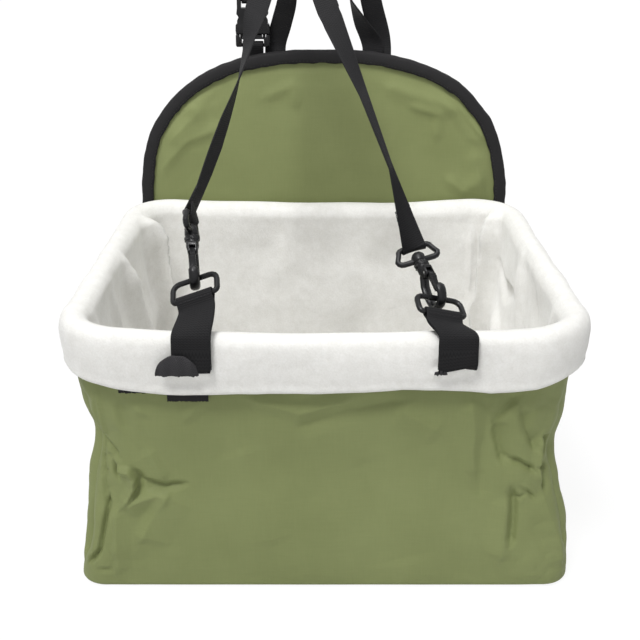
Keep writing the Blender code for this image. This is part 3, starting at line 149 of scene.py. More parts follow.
bpy.ops.mesh.primitive_plane_add(size=FLOOR_SIZE, location=FLOOR_PLACE)
floor = bpy.context.object
floor.name = "paper_floor"
paper, tree = with_nodes(bpy.data.materials.new("white_paper"))
shade = fed(tree, tree.nodes["Principled BSDF"], {"Base Color": PAPER_COLOUR, "Roughness": 0.9}).outputs["BSDF"]
glow = added(tree, "Emission", {"Strength": PAPER_GLOW})["Emission"]
share = sum_node(tree, "MULTIPLY", seen_directly(tree), GLOW_SHARE)
surface = added(tree, "MixShader", {"Fac": share, 1: shade, 2: glow})["Shader"]
fed(tree, tree.nodes["Material Output"], {"Surface": surface})
floor.data.materials.append(paper)

# Tub
# The outside of the basket: one skin of coated green cloth, sewn at the base and folded over the rim rod.
# It stands on its floor, draws in at the waist, and creases where the corners are not filled.

RIM_HEIGHT = 0.2175
HALF_WIDTH = 0.205
HALF_DEPTH = 0.150
BASE_CORNER = 0.024
RIM_CORNER = 0.042
RIM_RISE = 0.0105
RIM_CORNER_RISE = 0.0060
BASE_TAPER = 0.045
RIM_TAPER = 0.105
BASE_EDGE = 0.0040
# The tub's width and depth at shares of its height, as shares of those at its base.
LEVELS = (0.0, 0.14, 0.32, 0.43, 0.52, 0.60, 0.69, 0.81, 0.92, 1.0)
WIDTHS = (1.0, 0.983, 0.962, 0.944, 0.926, 0.920, 0.946, 0.965, 0.974, 0.978)
DEPTHS = (1.0, 1.006, 1.002, 0.990, 0.985, 0.986, 0.992, 1.0, 1.0, 1.0)
# Broad hollows: where each lies across and deep, as shares of the half width and depth, and high, how wide and
# how high it reaches, and how deep it is as a share of DENT_DEPTH.
DENTS = (
    (-0.86, -1.0, 0.50, 0.045, 0.26, 1.0),
    (-0.70, -1.0, 0.34, 0.050, 0.18, 0.6),
    (0.88, -1.0, 0.46, 0.045, 0.30, 1.0),
    (1.0, -0.62, 0.40, 0.070, 0.25, 0.9),
    (-1.0, -0.55, 0.44, 0.070, 0.25, 0.9),
    (1.0, 0.50, 0.45, 0.080, 0.28, 0.8),
    (-1.0, 0.45, 0.45, 0.080, 0.28, 0.8),
)
DENT_DEPTH = 0.0055

# The outline is walked from the front's left end: how many columns each stretch has.
STRETCHES = (
    ("front", 216), ("turn", 40), ("side", 56), ("turn", 12), ("back", 60), ("turn", 12), ("side", 56), ("turn", 40),
)
COLUMNS = sum(count for _, count in STRETCHES)


def clamp(values):
    """The values kept between nought and one."""
    return np.clip(values, 0, 1)


def gentle(places, values, where):
    """A smooth line through the values at the places."""
    places = np.asarray(places, float)
    values = np.asarray(values, float)
    slopes = np.gradient(values, places)
    where = np.clip(where, places[0], places[-1])
    i = np.clip(np.searchsorted(places, where, side="right") - 1, 0, len(places) - 2)
    gap = places[i + 1] - places[i]
    t = (where - places[i]) / gap
    return (
        values[i] * (2 * t ** 3 - 3 * t ** 2 + 1) + slopes[i] * gap * (t ** 3 - 2 * t ** 2 + t)
        + values[i + 1] * (3 * t ** 2 - 2 * t ** 3) + slopes[i + 1] * gap * (t ** 3 - t ** 2)
    )


def outline(around, half_x, half_y, radius):
    """Places and outward directions at shares of the way round a rounded rectangle."""
    flat_x = half_x - radius
    flat_y = half_y - radius
    column = (around % 1.0) * COLUMNS
    found = np.zeros((4, len(around)))
    start = 0
    for i, (kind, count) in enumerate(STRETCHES):
        here = (column >= start) & (column < start + count)
        t = (column - start) / count
        side = i // 2
        if kind == "turn":
            angle = math.pi * 0.5 * (t + (i - 1) / 2 - 1)
            px = (1, 1, -1, -1)[side] * flat_x + radius * np.cos(angle)
            py = (-1, 1, 1, -1)[side] * flat_y + radius * np.sin(angle)
            way = np.cos(angle), np.sin(angle)
        else:
            run = 2 * t - 1
            px = (run * flat_x, half_x, -run * flat_x, -half_x)[side]
            py = (-half_y, run * flat_y, half_y, -run * flat_y)[side]
            way = ((0, -1), (1, 0), (0, 1), (-1, 0))[side]
        found = np.where(here, np.stack([np.broadcast_to(part, around.shape) for part in (px, py, *way)]), found)
        start += count
    return found


def tub_wall(around, height, offset):
    """Places on the tub at heights, moved outwards, with the outward directions."""
    level = np.minimum(height, RIM_HEIGHT)
    share = level / RIM_HEIGHT
    half_x = gentle(LEVELS, WIDTHS, share) * HALF_WIDTH
    half_y = gentle(LEVELS, DEPTHS, share) * HALF_DEPTH
    radius = BASE_CORNER + (RIM_CORNER - BASE_CORNER) * share
    taper = BASE_TAPER + (RIM_TAPER - BASE_TAPER) * share
    x, y, out_x, out_y = outline(around, half_x, half_y, radius)
    dent = np.zeros_like(around)
    for across, deep, high, wide, reach, size in DENTS:
        flat = np.hypot(x - across * HALF_WIDTH, y - deep * HALF_DEPTH) / (wide * 2 * HALF_DEPTH)
        dent += size * DENT_DEPTH * np.exp(-flat ** 2 - ((share - high) / reach) ** 2)
    x = x + out_x * (offset - dent)
    y = y + out_y * (offset - dent)
    back = y / (2 * HALF_DEPTH) + 0.5
    rise = share ** 2 * (RIM_RISE * back + RIM_CORNER_RISE * (x / half_x) ** 2)
    narrow = 1.0 - taper * back
    return np.stack([x * narrow, y, height + rise], -1), np.stack([out_x, out_y], -1)


def ripple(points, size, seed):
    """A smooth random height at each point, about nought, with bumps of a size."""
    shift = Vector((seed * 7.31, seed * 3.17, seed * 5.71))
    return np.array([noise.noise(Vector(point) / size + shift) for point in points])


def ripples(points, table, shift=0):
    """The sum of ripples, each given as its size, its seed and how high it is."""
    return sum(ripple(points, size, seed + shift) * high for size, seed, high in table)


def choose(piece):
    """Makes a piece the one that the operators work on."""
    bpy.ops.object.select_all(action="DESELECT")
    piece.select_set(True)
    bpy.context.view_layer.objects.active = piece


def edited(piece, *steps):
    """Runs edit mode operators on all of a piece's mesh."""
    choose(piece)
    bpy.ops.object.mode_set(mode="EDIT")
    for step in steps:
        bpy.ops.mesh.select_all(action="SELECT")
        step()
    bpy.ops.object.mode_set(mode="OBJECT")


SAME_SPOT = 1e-6


def merge_seams():
    bpy.ops.mesh.remove_doubles(threshold=SAME_SPOT)


def close_holes():
    bpy.ops.mesh.select_all(action="DESELECT")
    bpy.ops.mesh.select_non_manifold(extend=False)
    bpy.ops.mesh.fill_holes(sides=0)


def face_outwards():
    bpy.ops.mesh.normals_make_consistent(inside=False)


def shaped_grid(name, across, along, place, paint, chart=None, closed=False):
    """A grid primitive whose points go to place(u, v). Its seams are merged, and chart(u, v) is its own map."""
    bpy.ops.object.select_all(action="DESELECT")
    bpy.ops.mesh.primitive_grid_add(x_subdivisions=across, y_subdivisions=along, size=1.0)
    piece = bpy.context.object
    piece.name = name
    piece.data.name = name
    flat = np.empty(len(piece.data.vertices) * 3)
    piece.data.vertices.foreach_get("co", flat)
    u, v, _ = flat.reshape(-1, 3).T + 0.5
    piece.data.vertices.foreach_set("co", np.asarray(place(u, v), float).ravel())
    if chart:
        corners = np.empty(len(piece.data.loops), int)
        piece.data.loops.foreach_get("vertex_index", corners)
        own = np.stack(chart(u, v), -1)
        piece.data.uv_layers["UVMap"].data.foreach_set("uv", own[corners].ravel())
    steps = [merge_seams, close_holes, face_outwards] if closed else [merge_seams, face_outwards]
    edited(piece, *steps)
    bpy.ops.object.shade_smooth()
    piece.data.materials.append(paint)
    return piece


def finish_with(piece, kind, **settings):
    """Adds a modifier to a piece and applies it."""
    choose(piece)
    step = piece.modifiers.new(kind.lower(), kind)
    for key, value in settings.items():
        setattr(step, key, value)
    bpy.ops.object.modifier_apply(modifier=step.name)


def placed_on(piece, body, slot, *replaced):
    """Fixes a finished piece to its body, in place of the CAD nodes. The slot, a finish's name, is not used."""
    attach(piece, body)
    if replaced:
        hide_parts(*replaced)


def moved_out(points, out, push):
    """Moves points by push in their outward directions, level."""
    points[:, :2] += out * push[:, None]


# Creases of the tub, in millimetres: how far it stands out, how wide it is on its left and its right, and the
# places it runs through on the unrolled wall, each a distance round from the front's middle and a height.
MM = 0.001
CREASES = (
    # The fold down the left corner, with the crumples beside it.
    (-2.4, 4, 5, (-187, 168), (-194, 138), (-194, 111), (-186, 86), (-179, 72)),
    (-5.0, 4, 7, (-180, 84), (-179, 72), (-180, 53), (-181, 34), (-195, 20)),
    (2.6, 12, 5, (-184, 173), (-187, 155), (-193, 132)),
    (-3.4, 4, 4, (-193, 131), (-172, 116)),
    (-3.0, 3, 4, (-193, 131), (-189, 125)),
    (-3.0, 3, 4, (-198, 119), (-194, 110)),
    (-2.6, 3, 4, (-191, 118), (-184, 117)),
    (-3.2, 3, 4, (-194, 109), (-192, 100)),
    (-3.0, 3, 4, (-191, 109), (-184, 99)),
    # The pleat pulled in beside the left corner, its dart, and the facets under it.
    (-6.0, 4, 5, (-181, 113), (-175, 105), (-168, 98)),
    (5.6, 8, 4, (-177, 109), (-162, 108), (-156, 103), (-154, 94), (-157, 84), (-162, 74)),
    (-5.0, 4, 6, (-161, 110), (-152, 102), (-150, 93), (-153, 86)),
    (-4.6, 5, 7, (-112, 97), (-129, 94), (-137, 96), (-150, 101)),
    (4.6, 6, 16, (-124, 93), (-140, 86), (-151, 81), (-162, 73)),
    (3.6, 8, 26, (-124, 92), (-134, 69), (-143, 42)),
    (2.8, 5, 12, (-166, 74), (-161, 45), (-158, 11)),
    (-1.8, 4, 5, (-161, 33), (-160, 17), (-181, 16)),
    (2.6, 18, 7, (-150, 130), (-129, 98)),
    (-2.4, 8, 12, (-163, 172), (-164, 140)),
    (2.2, 9, 7, (-157, 167), (-141, 158)),
    (2.2, 12, 9, (-97, 174), (-114, 152)),
    # The fold that comes out from under the cuff on the right, and the pleats beside that corner.
    (-3.4, 12, 6, (156, 175), (146, 165), (137, 150)),
    (-4.6, 5, 12, (137, 152), (146, 131), (149, 113)),
    (-4.8, 4, 6, (152, 119), (160, 116), (169, 111), (179, 105)),
    (-3.8, 5, 11, (157, 162), (165, 144), (185, 123)),
    (4.4, 10, 6, (188, 136), (186, 118), (182, 105), (183, 92)),
    (-5.0, 3, 4, (188, 134), (195, 132), (194, 118)),
    (-4.2, 4, 4, (180, 109), (200, 104)),
    (-4.0, 4, 4, (187, 100), (187, 85)),
    (3.2, 22, 13, (181, 88), (185, 67), (193, 43), (197, 18)),
    (-4.6, 7, 5, (152, 95), (151, 82), (148, 64), (143, 40)),
    (-3.2, 4, 4, (150, 83), (161, 87)),
    (-3.0, 4, 5, (158, 94), (173, 80)),
    (2.6, 14, 8, (146, 84), (140, 55), (133, 25)),
    (2.6, 11, 11, (116, 171), (125, 136), (123, 102)),
    (-2.0, 13, 13, (128, 173), (133, 136), (124, 83)),
    # Beyond both corners the cloth falls back.
    (-4.2, 12, 16, (-206, 172), (-208, 110), (-204, 24)),
    (-3.6, 14, 14, (206, 165), (208, 110), (208, 34)),
    # Slack under the cuff in the middle.
    (2.6, 11, 11, (-62, 174), (-20, 162), (20, 172)),
    (-2.4, 13, 11, (-22, 148), (16, 162), (62, 172)),
    (1.8, 18, 14, (58, 165), (97, 142)),
    (1.6, 30, 22, (-70, 130), (-40, 40)),
    (-1.4, 26, 30, (30, 120), (60, 20)),
    # The sides and the back.
    (-4.0, 16, 11, (230, 150), (250, 90)),
    (4.2, 16, 11, (250, 100), (300, 80)),
    (3.6, 22, 16, (295, 165), (320, 70)),
    (-4.2, 18, 14, (370, 150), (410, 90)),
    (4.0, 16, 14, (420, 110), (440, 30)),
    (-4.2, 16, 11, (-230, 145), (-260, 85)),
    (4.0, 16, 11, (-255, 95), (-305, 70)),
    (3.4, 20, 16, (-315, 160), (-330, 80)),
    (-4.0, 18, 14, (-390, 150), (-420, 90)),
    (3.6, 16, 14, (-430, 100), (-450, 30)),
    (3.6, 28, 18, (520, 160), (560, 70)),
    (3.6, 28, 18, (-540, 150), (-570, 80)),
)
# A crease is higher than in its table by CREASE_SIZE. From each end it grows over CREASE_END, starting at
# CREASE_START of its height and CREASE_NARROW of its width, and CREASE_POWER shapes its flanks. A soft one
# has a round crest and grows from nothing over FOLD_END.
CREASE_END = 0.010
CREASE_SIZE = 1.2
CREASE_START = 0.25
CREASE_NARROW = 0.4
CREASE_POWER = 1.35
FOLD_END = 0.042
# Shares of the grid's rows that go to the underside and to the edge round it.
UNDERSIDE = 0.06
EDGE_PART = 0.03
# Where the tub's corners lie round it, and how far they reach; where its sides start; and where the wall's
# unevenness fades at its foot and under its rim.
FRONT_CORNER = (0.195, 0.05)
BACK_CORNER = (0.49, 0.06)
SIDE_START = (0.17, 0.05)
FOOT_FADE = 0.012
RIM_FADE = 0.03
# The wall's unevenness: how big its bumps are, its seed, how it is drawn out upwards, whether it is sharp, and
# how high it is everywhere, how much more in the corners, and how much more on the sides.
TUB_RIPPLES = (
    (0.034, 2, 1.0, False, 0.0006, 0.0016, 0.0008),
    (0.019, 5, 1.0, True, 0.0003, 0.0012, 0.0),
    (0.060, 9, 0.35, False, 0.0016, 0.0, 0.0),
    (0.030, 12, 0.6, True, 0.0005, 0.0024, 0.0),
)


def unrolled(around):
    """The distance round the tub from the front's middle, to the right or left."""
    column = (around % 1.0) * COLUMNS
    lengths = {"front": 2 * (HALF_WIDTH - RIM_CORNER), "turn": RIM_CORNER * math.pi / 2}
    lengths["side"] = 2 * (HALF_DEPTH - RIM_CORNER)
    lengths["back"] = lengths["front"]
    edges = [0.0]
    columns = [0]
    for kind, count in STRETCHES:
        edges.append(edges[-1] + lengths[kind])
        columns.append(columns[-1] + count)
    run = np.interp(column, columns, edges) - lengths["front"] / 2
    return np.where(run > edges[-1] / 2, run - edges[-1], run)


def eased(share):
    """A share from nought to one that leaves and arrives gently."""
    return share ** 2 * (3 - 2 * share)


def crease_height(run, height, creases, soft=False):
    """How far the creases push the cloth out at places on the unrolled wall. Soft ones have round crests."""
    total = np.zeros_like(run)
    for rise, left, right, *spots in creases:
        spots = np.array(spots) * MM
        wide_left, wide_right, rise = left * MM, right * MM, rise * (1.0 if soft else CREASE_SIZE) * MM
        reach = 2 * max(wide_left, wide_right)
        near = (run > spots[:, 0].min() - reach) & (run < spots[:, 0].max() + reach)
        near &= (height > spots[:, 1].min() - reach) & (height < spots[:, 1].max() + reach)
        here = np.stack([run[near], height[near]], -1)
        gap = np.full(len(here), 1.0)
        side = np.zeros(len(here))
        past = np.zeros(len(here))
        done = 0.0
        for start, end in zip(spots, spots[1:]):
            line = end - start
            size = np.linalg.norm(line)
            t = clamp((here - start) @ line / size ** 2)
            away = here - start - t[:, None] * line
            distance = np.linalg.norm(away, axis=1)
            closer = distance < gap
            gap = np.where(closer, distance, gap)
            side = np.where(closer, away[:, 0] * line[1] - away[:, 1] * line[0], side)
            past = np.where(closer, done + t * size, past)
            done += size
        wide = np.where(side > 0, wide_left, wide_right)
        ends = clamp(np.minimum(past, done - past) / (FOLD_END if soft else CREASE_END))
        ends = eased(ends) if soft else np.minimum(ends + CREASE_START, 1.0)
        share = clamp(1.0 - gap / (wide * (CREASE_NARROW + (1 - CREASE_NARROW) * ends)))
        total[near] += rise * ends * (eased(share) if soft else share ** CREASE_POWER)
    return total


def tub_place(u, v):
    """The tub's skin: out from the middle of the underside, round the base edge, and up the wall."""
    floor_part = v < UNDERSIDE
    edge_part = (v >= UNDERSIDE) & (v < UNDERSIDE + EDGE_PART)
    bend = clamp((v - UNDERSIDE) / EDGE_PART) * math.pi / 2
    up = clamp((v - UNDERSIDE - EDGE_PART) / (1 - UNDERSIDE - EDGE_PART))
    parts = [floor_part, edge_part]
    height = np.select(parts, [0.0, BASE_EDGE * (1 - np.cos(bend))], BASE_EDGE + up * (RIM_HEIGHT - BASE_EDGE))
    offset = np.select(parts, [-BASE_EDGE, BASE_EDGE * (np.sin(bend) - 1)], 0.0)
    points, out = tub_wall(u, height, offset)
    run = unrolled(u)
    corner = sum(np.exp(-((np.abs(run) - place) / reach) ** 2) for place, reach in (FRONT_CORNER, BACK_CORNER))
    sides = clamp((np.abs(run) - SIDE_START[0]) / SIDE_START[1])
    push = crease_height(run, height, CREASES)
    for size, seed, tall, sharp, plain, in_corners, on_sides in TUB_RIPPLES:
        bumps = ripple(points * (1.0, 1.0, tall), size, seed)
        push += (np.abs(bumps) if sharp else bumps) * (plain + in_corners * corner + on_sides * sides)
    push *= clamp(height / FOOT_FADE) * clamp((RIM_HEIGHT - height) / RIM_FADE)
    moved_out(points, out, np.where(floor_part, 0.0, push))
    points[:, :2] *= np.where(floor_part, v / UNDERSIDE, 1.0)[:, None]
    return points


# Cloth weave, for the green cloth: threads crossing at right angles, and thicker ones here and there. It
# reads object places, so it runs level and upright on every wall.

SLUB_SIZE = 0.0011
SLUB_DRAW = 0.06
THREAD_HEIGHT = 0.35


def shader_group(name, inputs, outputs=("Height", "Shade")):
    """An empty node group that takes a place and some sizes: its tree, its inputs' sockets and its end node."""
    group = bpy.data.node_groups.new(name, "ShaderNodeTree")
    group.interface.new_socket(name="Vector", in_out="INPUT", socket_type="NodeSocketVector")
    for title, value in inputs.items():
        group.interface.new_socket(name=title, in_out="INPUT", socket_type="NodeSocketFloat").default_value = value
    for title in outputs:
        group.interface.new_socket(name=title, in_out="OUTPUT", socket_type="NodeSocketFloat")
    return group, group.nodes.new("NodeGroupInput").outputs, group.nodes.new("NodeGroupOutput")


def grain_node(tree, vector, size, detail=2.0, roughness=0.5, stretch=None):
    """A noise texture with bumps of a size, giving a value about one half."""
    if stretch:
        vector = added(tree, "Mapping", {"Scale": stretch, "Vector": vector})["Vector"]
    looks = {"Vector": vector, "Scale": 1.0 / size, "Detail": detail, "Roughness": roughness}
    return added(tree, "TexNoise", looks)["Fac"]


def weave_group():
    group, sizes, end = shader_group("cloth_weave", {"Thread": 0.0006, "Slub": 0.3})
    place = added(group, "SeparateXYZ", {"Vector": sizes["Vector"]})
    turns = sum_node(group, "DIVIDE", math.pi, sizes["Thread"])
    level = sum_node(group, "ADD", place["X"], place["Y"])
    warp, weft = (sum_node(group, "SINE", sum_node(group, "MULTIPLY", way, turns)) for way in (level, place["Z"]))
    slubs = sum_node(group, "ADD", *(
        grain_node(group, sizes["Vector"], SLUB_SIZE, 1.0, 0.5, draw)
        for draw in ((SLUB_DRAW, SLUB_DRAW, 1.0), (1.0, 1.0, SLUB_DRAW))
    ))
    slubs = sum_node(group, "MULTIPLY", sum_node(group, "SUBTRACT", slubs, 1.0), sizes["Slub"])
    shade = sum_node(group, "ADD", slubs, 0.5)
    cross = sum_node(group, "MULTIPLY", warp, weft)
    fed(group, end, {"Height": sum_node(group, "MULTIPLY_ADD", cross, THREAD_HEIGHT, shade), "Shade": shade})
    return group


cloth_weave = weave_group()


def painted(name, colour, roughness, sheen=0.0, gloss=0.35):
    """A material with a Principled shader at its plain values, with its object coordinates."""
    paint, tree = with_nodes(bpy.data.materials.new(name))
    shader = fed(tree, tree.nodes["Principled BSDF"], {
        "Base Color": (*colour, 1.0), "Roughness": roughness, "Sheen Weight": sheen, "Sheen Roughness": 0.5,
        "Specular IOR Level": gloss,
    })
    return paint, tree, shader, added(tree, "TexCoord", {})["Object"]


def two_colours(tree, share, low, high):
    """A colour between two, by a share that changes over the surface."""
    return added(tree, "Mix", {"Factor": share, "A": (*low, 1.0), "B": (*high, 1.0)}, data_type="RGBA")["Result"]


def bumped(tree, height, distance, strength):
    """A normal that stands a height times distance in metres out of the surface."""
    return added(tree, "Bump", {"Height": height, "Distance": distance, "Strength": strength})["Normal"]


def mapped(tree, value, low, high, to_low, to_high):
    """A value taken from one range to another."""
    ends = {"From Min": low, "From Max": high, "To Min": to_low, "To Max": to_high}
    return added(tree, "MapRange", {"Value": value, **ends})["Result"]


GREEN_LOW = (0.196, 0.224, 0.090)
GREEN_HIGH = (0.236, 0.268, 0.114)


def green_cloth_paint():
    paint, tree, shader, spots = painted("green_cloth", GREEN_HIGH, 0.62, gloss=0.22)
    weave = added(tree, "Group", {"Vector": spots, "Thread": 0.00055, "Slub": 0.55}, node_tree=cloth_weave)
    cloud = mapped(tree, grain_node(tree, spots, 0.11, 3.0, 0.6), 0.3, 0.7, -0.3, 0.5)
    share = sum_node(tree, "MULTIPLY_ADD", weave["Shade"], 0.8, cloud)
    fed(tree, shader, {
        "Base Color": two_colours(tree, share, GREEN_LOW, GREEN_HIGH),
        "Roughness": mapped(tree, weave["Height"], 0.0, 1.0, 0.52, 0.70),
        "Normal": bumped(tree, weave["Height"], 0.00010, 0.6),
    })
    return paint


green_cloth = green_cloth_paint()
tub = shaped_grid("tub_cloth", COLUMNS, 168, tub_place, green_cloth)
placed_on(tub, "seat", "green_oxford", "outer_shell")

# Hidden stiffeners
# The floor board, the panel's board and the rod in the rim cannot be seen. They keep the CAD's shape.

BOARD = (0.34, 0.34, 0.33)
BOARD_LOW = (0.30, 0.30, 0.29)
BOARD_HIGH = (0.38, 0.38, 0.37)
grey_board, tree, shader, spots = painted("grey_board", BOARD, 0.8)
fed(tree, shader, {"Base Color": two_colours(tree, grain_node(tree, spots, 0.002), BOARD_LOW, BOARD_HIGH)})
drawn_wire, tree, shader, spots = painted("drawn_wire", (0.55, 0.55, 0.56), 0.35)
streaks = mapped(tree, grain_node(tree, spots, 0.0008), 0.3, 0.7, 0.28, 0.42)
fed(tree, shader, {"Metallic": 1.0, "Roughness": streaks})


def repaint(node, paint):
    """Gives a CAD node that stays a finish of its own."""
    nodes[node].data.materials.clear()
    nodes[node].data.materials.append(paint)


for node in ("base_board", "panel_board"):
    repaint(node, grey_board)
for node in ("rim_frame", "gate_pin_left", "gate_pin_right"):
    repaint(node, drawn_wire)

# Lining
# Pale fleece lines the tub, turns over the rim rod and hangs outside as a deep cuff with a folded hem. It
# lies loose in the corners, where it falls in soft upright folds.

RIM_TOP = 0.2287
CUFF_DROP = 0.045
CUFF_BASE = RIM_TOP - CUFF_DROP
FLOOR_TOP = 0.0111
LINER_SKIN = -0.0078

# The lining's outline in section: distance outside the tub's wall, and height. It runs from the floor's
# edge up the inside, over the rim, down the cuff, round the hem and up behind the cuff.
SECTION = (
    (-0.0120, FLOOR_TOP), (-0.0085, FLOOR_TOP + 0.006), (LINER_SKIN, 0.040), (LINER_SKIN, 0.080),
    (LINER_SKIN, 0.120), (LINER_SKIN, 0.160), (LINER_SKIN, 0.190), (-0.0086, 0.2100), (-0.0088, 0.2200),
    (-0.0060, 0.2268), (-0.0015, RIM_TOP), (0.0040, 0.2280), (0.0082, 0.2240), (0.0106, 0.2160),
    (0.0112, 0.2050), (0.0108, 0.1960), (0.0100, 0.1895), (0.0102, 0.1862), (0.0094, 0.1841), (0.0072, CUFF_BASE),
    (0.0050, 0.1846), (0.0044, 0.1870), (0.0043, 0.1960), (0.0043, 0.2100),
)


def distance_along(points):
    """The distance along a line of points from its first to each."""
    return np.concatenate([[0.0], np.cumsum(np.linalg.norm(np.diff(points, axis=0), axis=1))])


SECTION_RUN = distance_along(SECTION)
INSIDE_RUN = SECTION_RUN[8]
RIM_RUN = SECTION_RUN[10]
LINER_FLOOR = 0.06
# The hem's wave along the front: places from its middle, and how far it is lifted at each.
HEM_PLACES = (
    -0.205, -0.180, -0.150, -0.137, -0.110, -0.091, -0.060, -0.010, 0.030, 0.060, 0.090, 0.105, 0.130, 0.165, 0.185,
    0.205,
)
HEM_LIFTS = (
    0.0035, 0.0, -0.0034, -0.0045, -0.0048, -0.0034, -0.0023, -0.0014, 0.0002, 0.0019, 0.0003, -0.0012, -0.0044,
    -0.0029, 0.0010, 0.0050,
)
CORNER_LIFT = 0.0040
HEM_TOP = 0.008

# Folds of the inside, as the creases of the tub. They stand into the basket.
INNER_FOLDS = (
    (21.0, 7, 28, (-438, 240), (-446, 222), (-478, 164), (-490, 133), (-504, 50)),
    (14.0, 8, 20, (-346, 232), (-362, 190), (-384, 130), (-394, 70)),
    (5.0, 16, 10, (-300, 228), (-312, 180), (-330, 120)),
    (7.0, 18, 14, (-236, 226), (-246, 160), (-262, 90)),
    (19.0, 28, 6, (466, 240), (471, 228), (480, 155), (488, 112), (496, 40)),
    (6.0, 5, 10, (498, 232), (506, 190), (506, 130)),
    (-6.0, 10, 14, (462, 186), (415, 168), (366, 180)),
    (6.0, 14, 12, (448, 150), (410, 132), (372, 120)),
    (6.0, 18, 22, (372, 230), (356, 200), (330, 110)),
    (-4.0, 18, 16, (322, 222), (300, 170), (286, 110)),
    (7.0, 14, 18, (240, 228), (250, 160), (268, 80)),
    (4.0, 30, 24, (-640, 220), (-620, 140)),
    (-3.0, 26, 30, (590, 215), (606, 130)),
    (4.0, 30, 30, (640, 200), (650, 90)),
)
SLACK = 0.0030
MOST_OUT = 0.0025
# Distances along the section over which the outside starts and the inside ends, the height over which the
# inside starts, and the distance on either side of the rim's top that is uneven with it.
OUTSIDE_STARTS = 0.006
INSIDE_ENDS = 0.010
INSIDE_STARTS = 0.02
RIM_REACH = 0.02
# The unevenness of the lining's inside, of its cuff, of the hem, of its lower edge, of the rim and of the floor,
# as ripples.
INNER_RIPPLES = ((0.055, 21, 0.0022), (0.024, 23, 0.0008))
CUFF_RIPPLES = ((0.045, 31, 0.0016), (0.016, 33, 0.0005))
HEM_RIPPLES = ((0.05, 41, 0.002),)
HEM_CRINKLES = ((0.02, 43, 0.0006),)
RIM_RIPPLES = ((0.07, 47, 0.0022),)
FLOOR_RIPPLES = ((0.05, 51, 0.0006),)
# The slits the tabs come out of: where each starts and ends across, and its height there. The fleece under
# each stands out as a lip over the tab's end, and dips in above it.
SLITS = ((-0.1185, -0.0850, 0.2046, 0.2052), (0.0800, 0.1160, 0.2036, 0.2106))
SLIT_LIP = 0.0042
LIP_REACH = 0.011
SLIT_DIP = 0.0012
DIP_REACH = 0.006
SLIT_EDGE = 0.0009
SLIT_END = 0.003
FRONT_Y = -0.14


def slit_lips(points):
    """How far the fleece stands out at the two slits."""
    x, y, z = points.T
    total = np.zeros_like(x)
    for left, right, low, high in SLITS:
        line = low + (high - low) * clamp((x - left) / (right - left))
        inside = clamp((x - left) / SLIT_END) * clamp((right - x) / SLIT_END) * (y < FRONT_Y)
        lip = clamp((line - z) / SLIT_EDGE) * clamp(1 - (line - z) / LIP_REACH)
        dip = clamp((z - line) / SLIT_EDGE) * clamp(1 - (z - line) / DIP_REACH)
        total += inside * (SLIT_LIP * lip - SLIT_DIP * dip)
    return total


def lining_place(u, v):
    """The lining: the floor from its middle outwards, then the section's line."""
    t = clamp((v - LINER_FLOOR) / (1 - LINER_FLOOR)) * SECTION_RUN[-1]
    offset, height = (gentle(SECTION_RUN, line, t) for line in zip(*SECTION))
    points, out = tub_wall(u, height, offset)
    spots = points.copy()
    run = unrolled(u)
    outside = clamp((t - RIM_RUN) / OUTSIDE_STARTS)
    inner = (1 - clamp((t - INSIDE_RUN) / INSIDE_ENDS)) * clamp((height - FLOOR_TOP) / INSIDE_STARTS)
    folds = np.minimum(-SLACK - crease_height(run, height, INNER_FOLDS, True), MOST_OUT)
    push = (folds + ripples(spots, INNER_RIPPLES)) * inner
    moved_out(points, out, push + ripples(spots, CUFF_RIPPLES) * outside)
    hem = clamp((RIM_TOP - HEM_TOP - height) / (CUFF_DROP - HEM_TOP)) * outside
    low = (1 - clamp((height - CUFF_BASE) / CUFF_DROP)) * outside
    lift = CORNER_LIFT * (points[:, 0] / HALF_WIDTH) ** 2 * low
    front = clamp(-out[:, 1])
    wave = np.interp(run, HEM_PLACES, HEM_LIFTS) * front + ripples(spots, HEM_RIPPLES) * (1 - front)
    points[:, 2] += lift + hem * (wave + ripples(spots, HEM_CRINKLES))
    moved_out(points, out, slit_lips(points) * outside)
    points[:, 2] += clamp(1 - np.abs(t - RIM_RUN) / RIM_REACH) * ripples(spots, RIM_RIPPLES)
    points[:, :2] *= clamp(v / LINER_FLOOR)[:, None]
    points[:, 2] += np.where(v < LINER_FLOOR, ripples(spots * (1, 1, 0), FLOOR_RIPPLES), 0.0)
    return points


def pile_group():
    """Short brushed pile: fine tufts in clumps that lie a little differently."""
    group, sizes, end = shader_group("fleece_pile", {})
    tufts = grain_node(group, sizes["Vector"], 0.0016, 4.0, 0.65)
    clumps = grain_node(group, sizes["Vector"], 0.0085, 3.0, 0.6)
    fed(group, end, {
        title: sum_node(group, "MULTIPLY_ADD", clumps, of_clumps, sum_node(group, "MULTIPLY", tufts, of_tufts))
        for title, of_clumps, of_tufts in (("Height", 0.8, 0.6), ("Shade", 0.5, 0.5))
    })
    return group


fleece_pile = pile_group()
FLEECE_LOW = (0.755, 0.745, 0.71)
FLEECE_HIGH = (0.87, 0.865, 0.84)


def fleece_paint():
    paint, tree, shader, spots = painted("pale_fleece", FLEECE_HIGH, 0.95, 0.35, 0.1)
    pile = added(tree, "Group", {"Vector": spots}, node_tree=fleece_pile)
    share = mapped(tree, pile["Shade"], 0.30, 0.68, 0.0, 1.0)
    colour = two_colours(tree, share, FLEECE_LOW, FLEECE_HIGH)
    fed(tree, shader, {"Base Color": colour, "Normal": bumped(tree, pile["Height"], 0.0010, 0.55)})
    return paint


fleece = fleece_paint()
lining = shaped_grid("fleece_lining", COLUMNS, 150, lining_place, fleece)
placed_on(lining, "seat", "pale_fleece", "fleece_liner")

# Back panel
# Two faces of the green cloth over a stiff board, with an arched top. A black tape is folded over the edge
# and sewn through with one row of stitches.

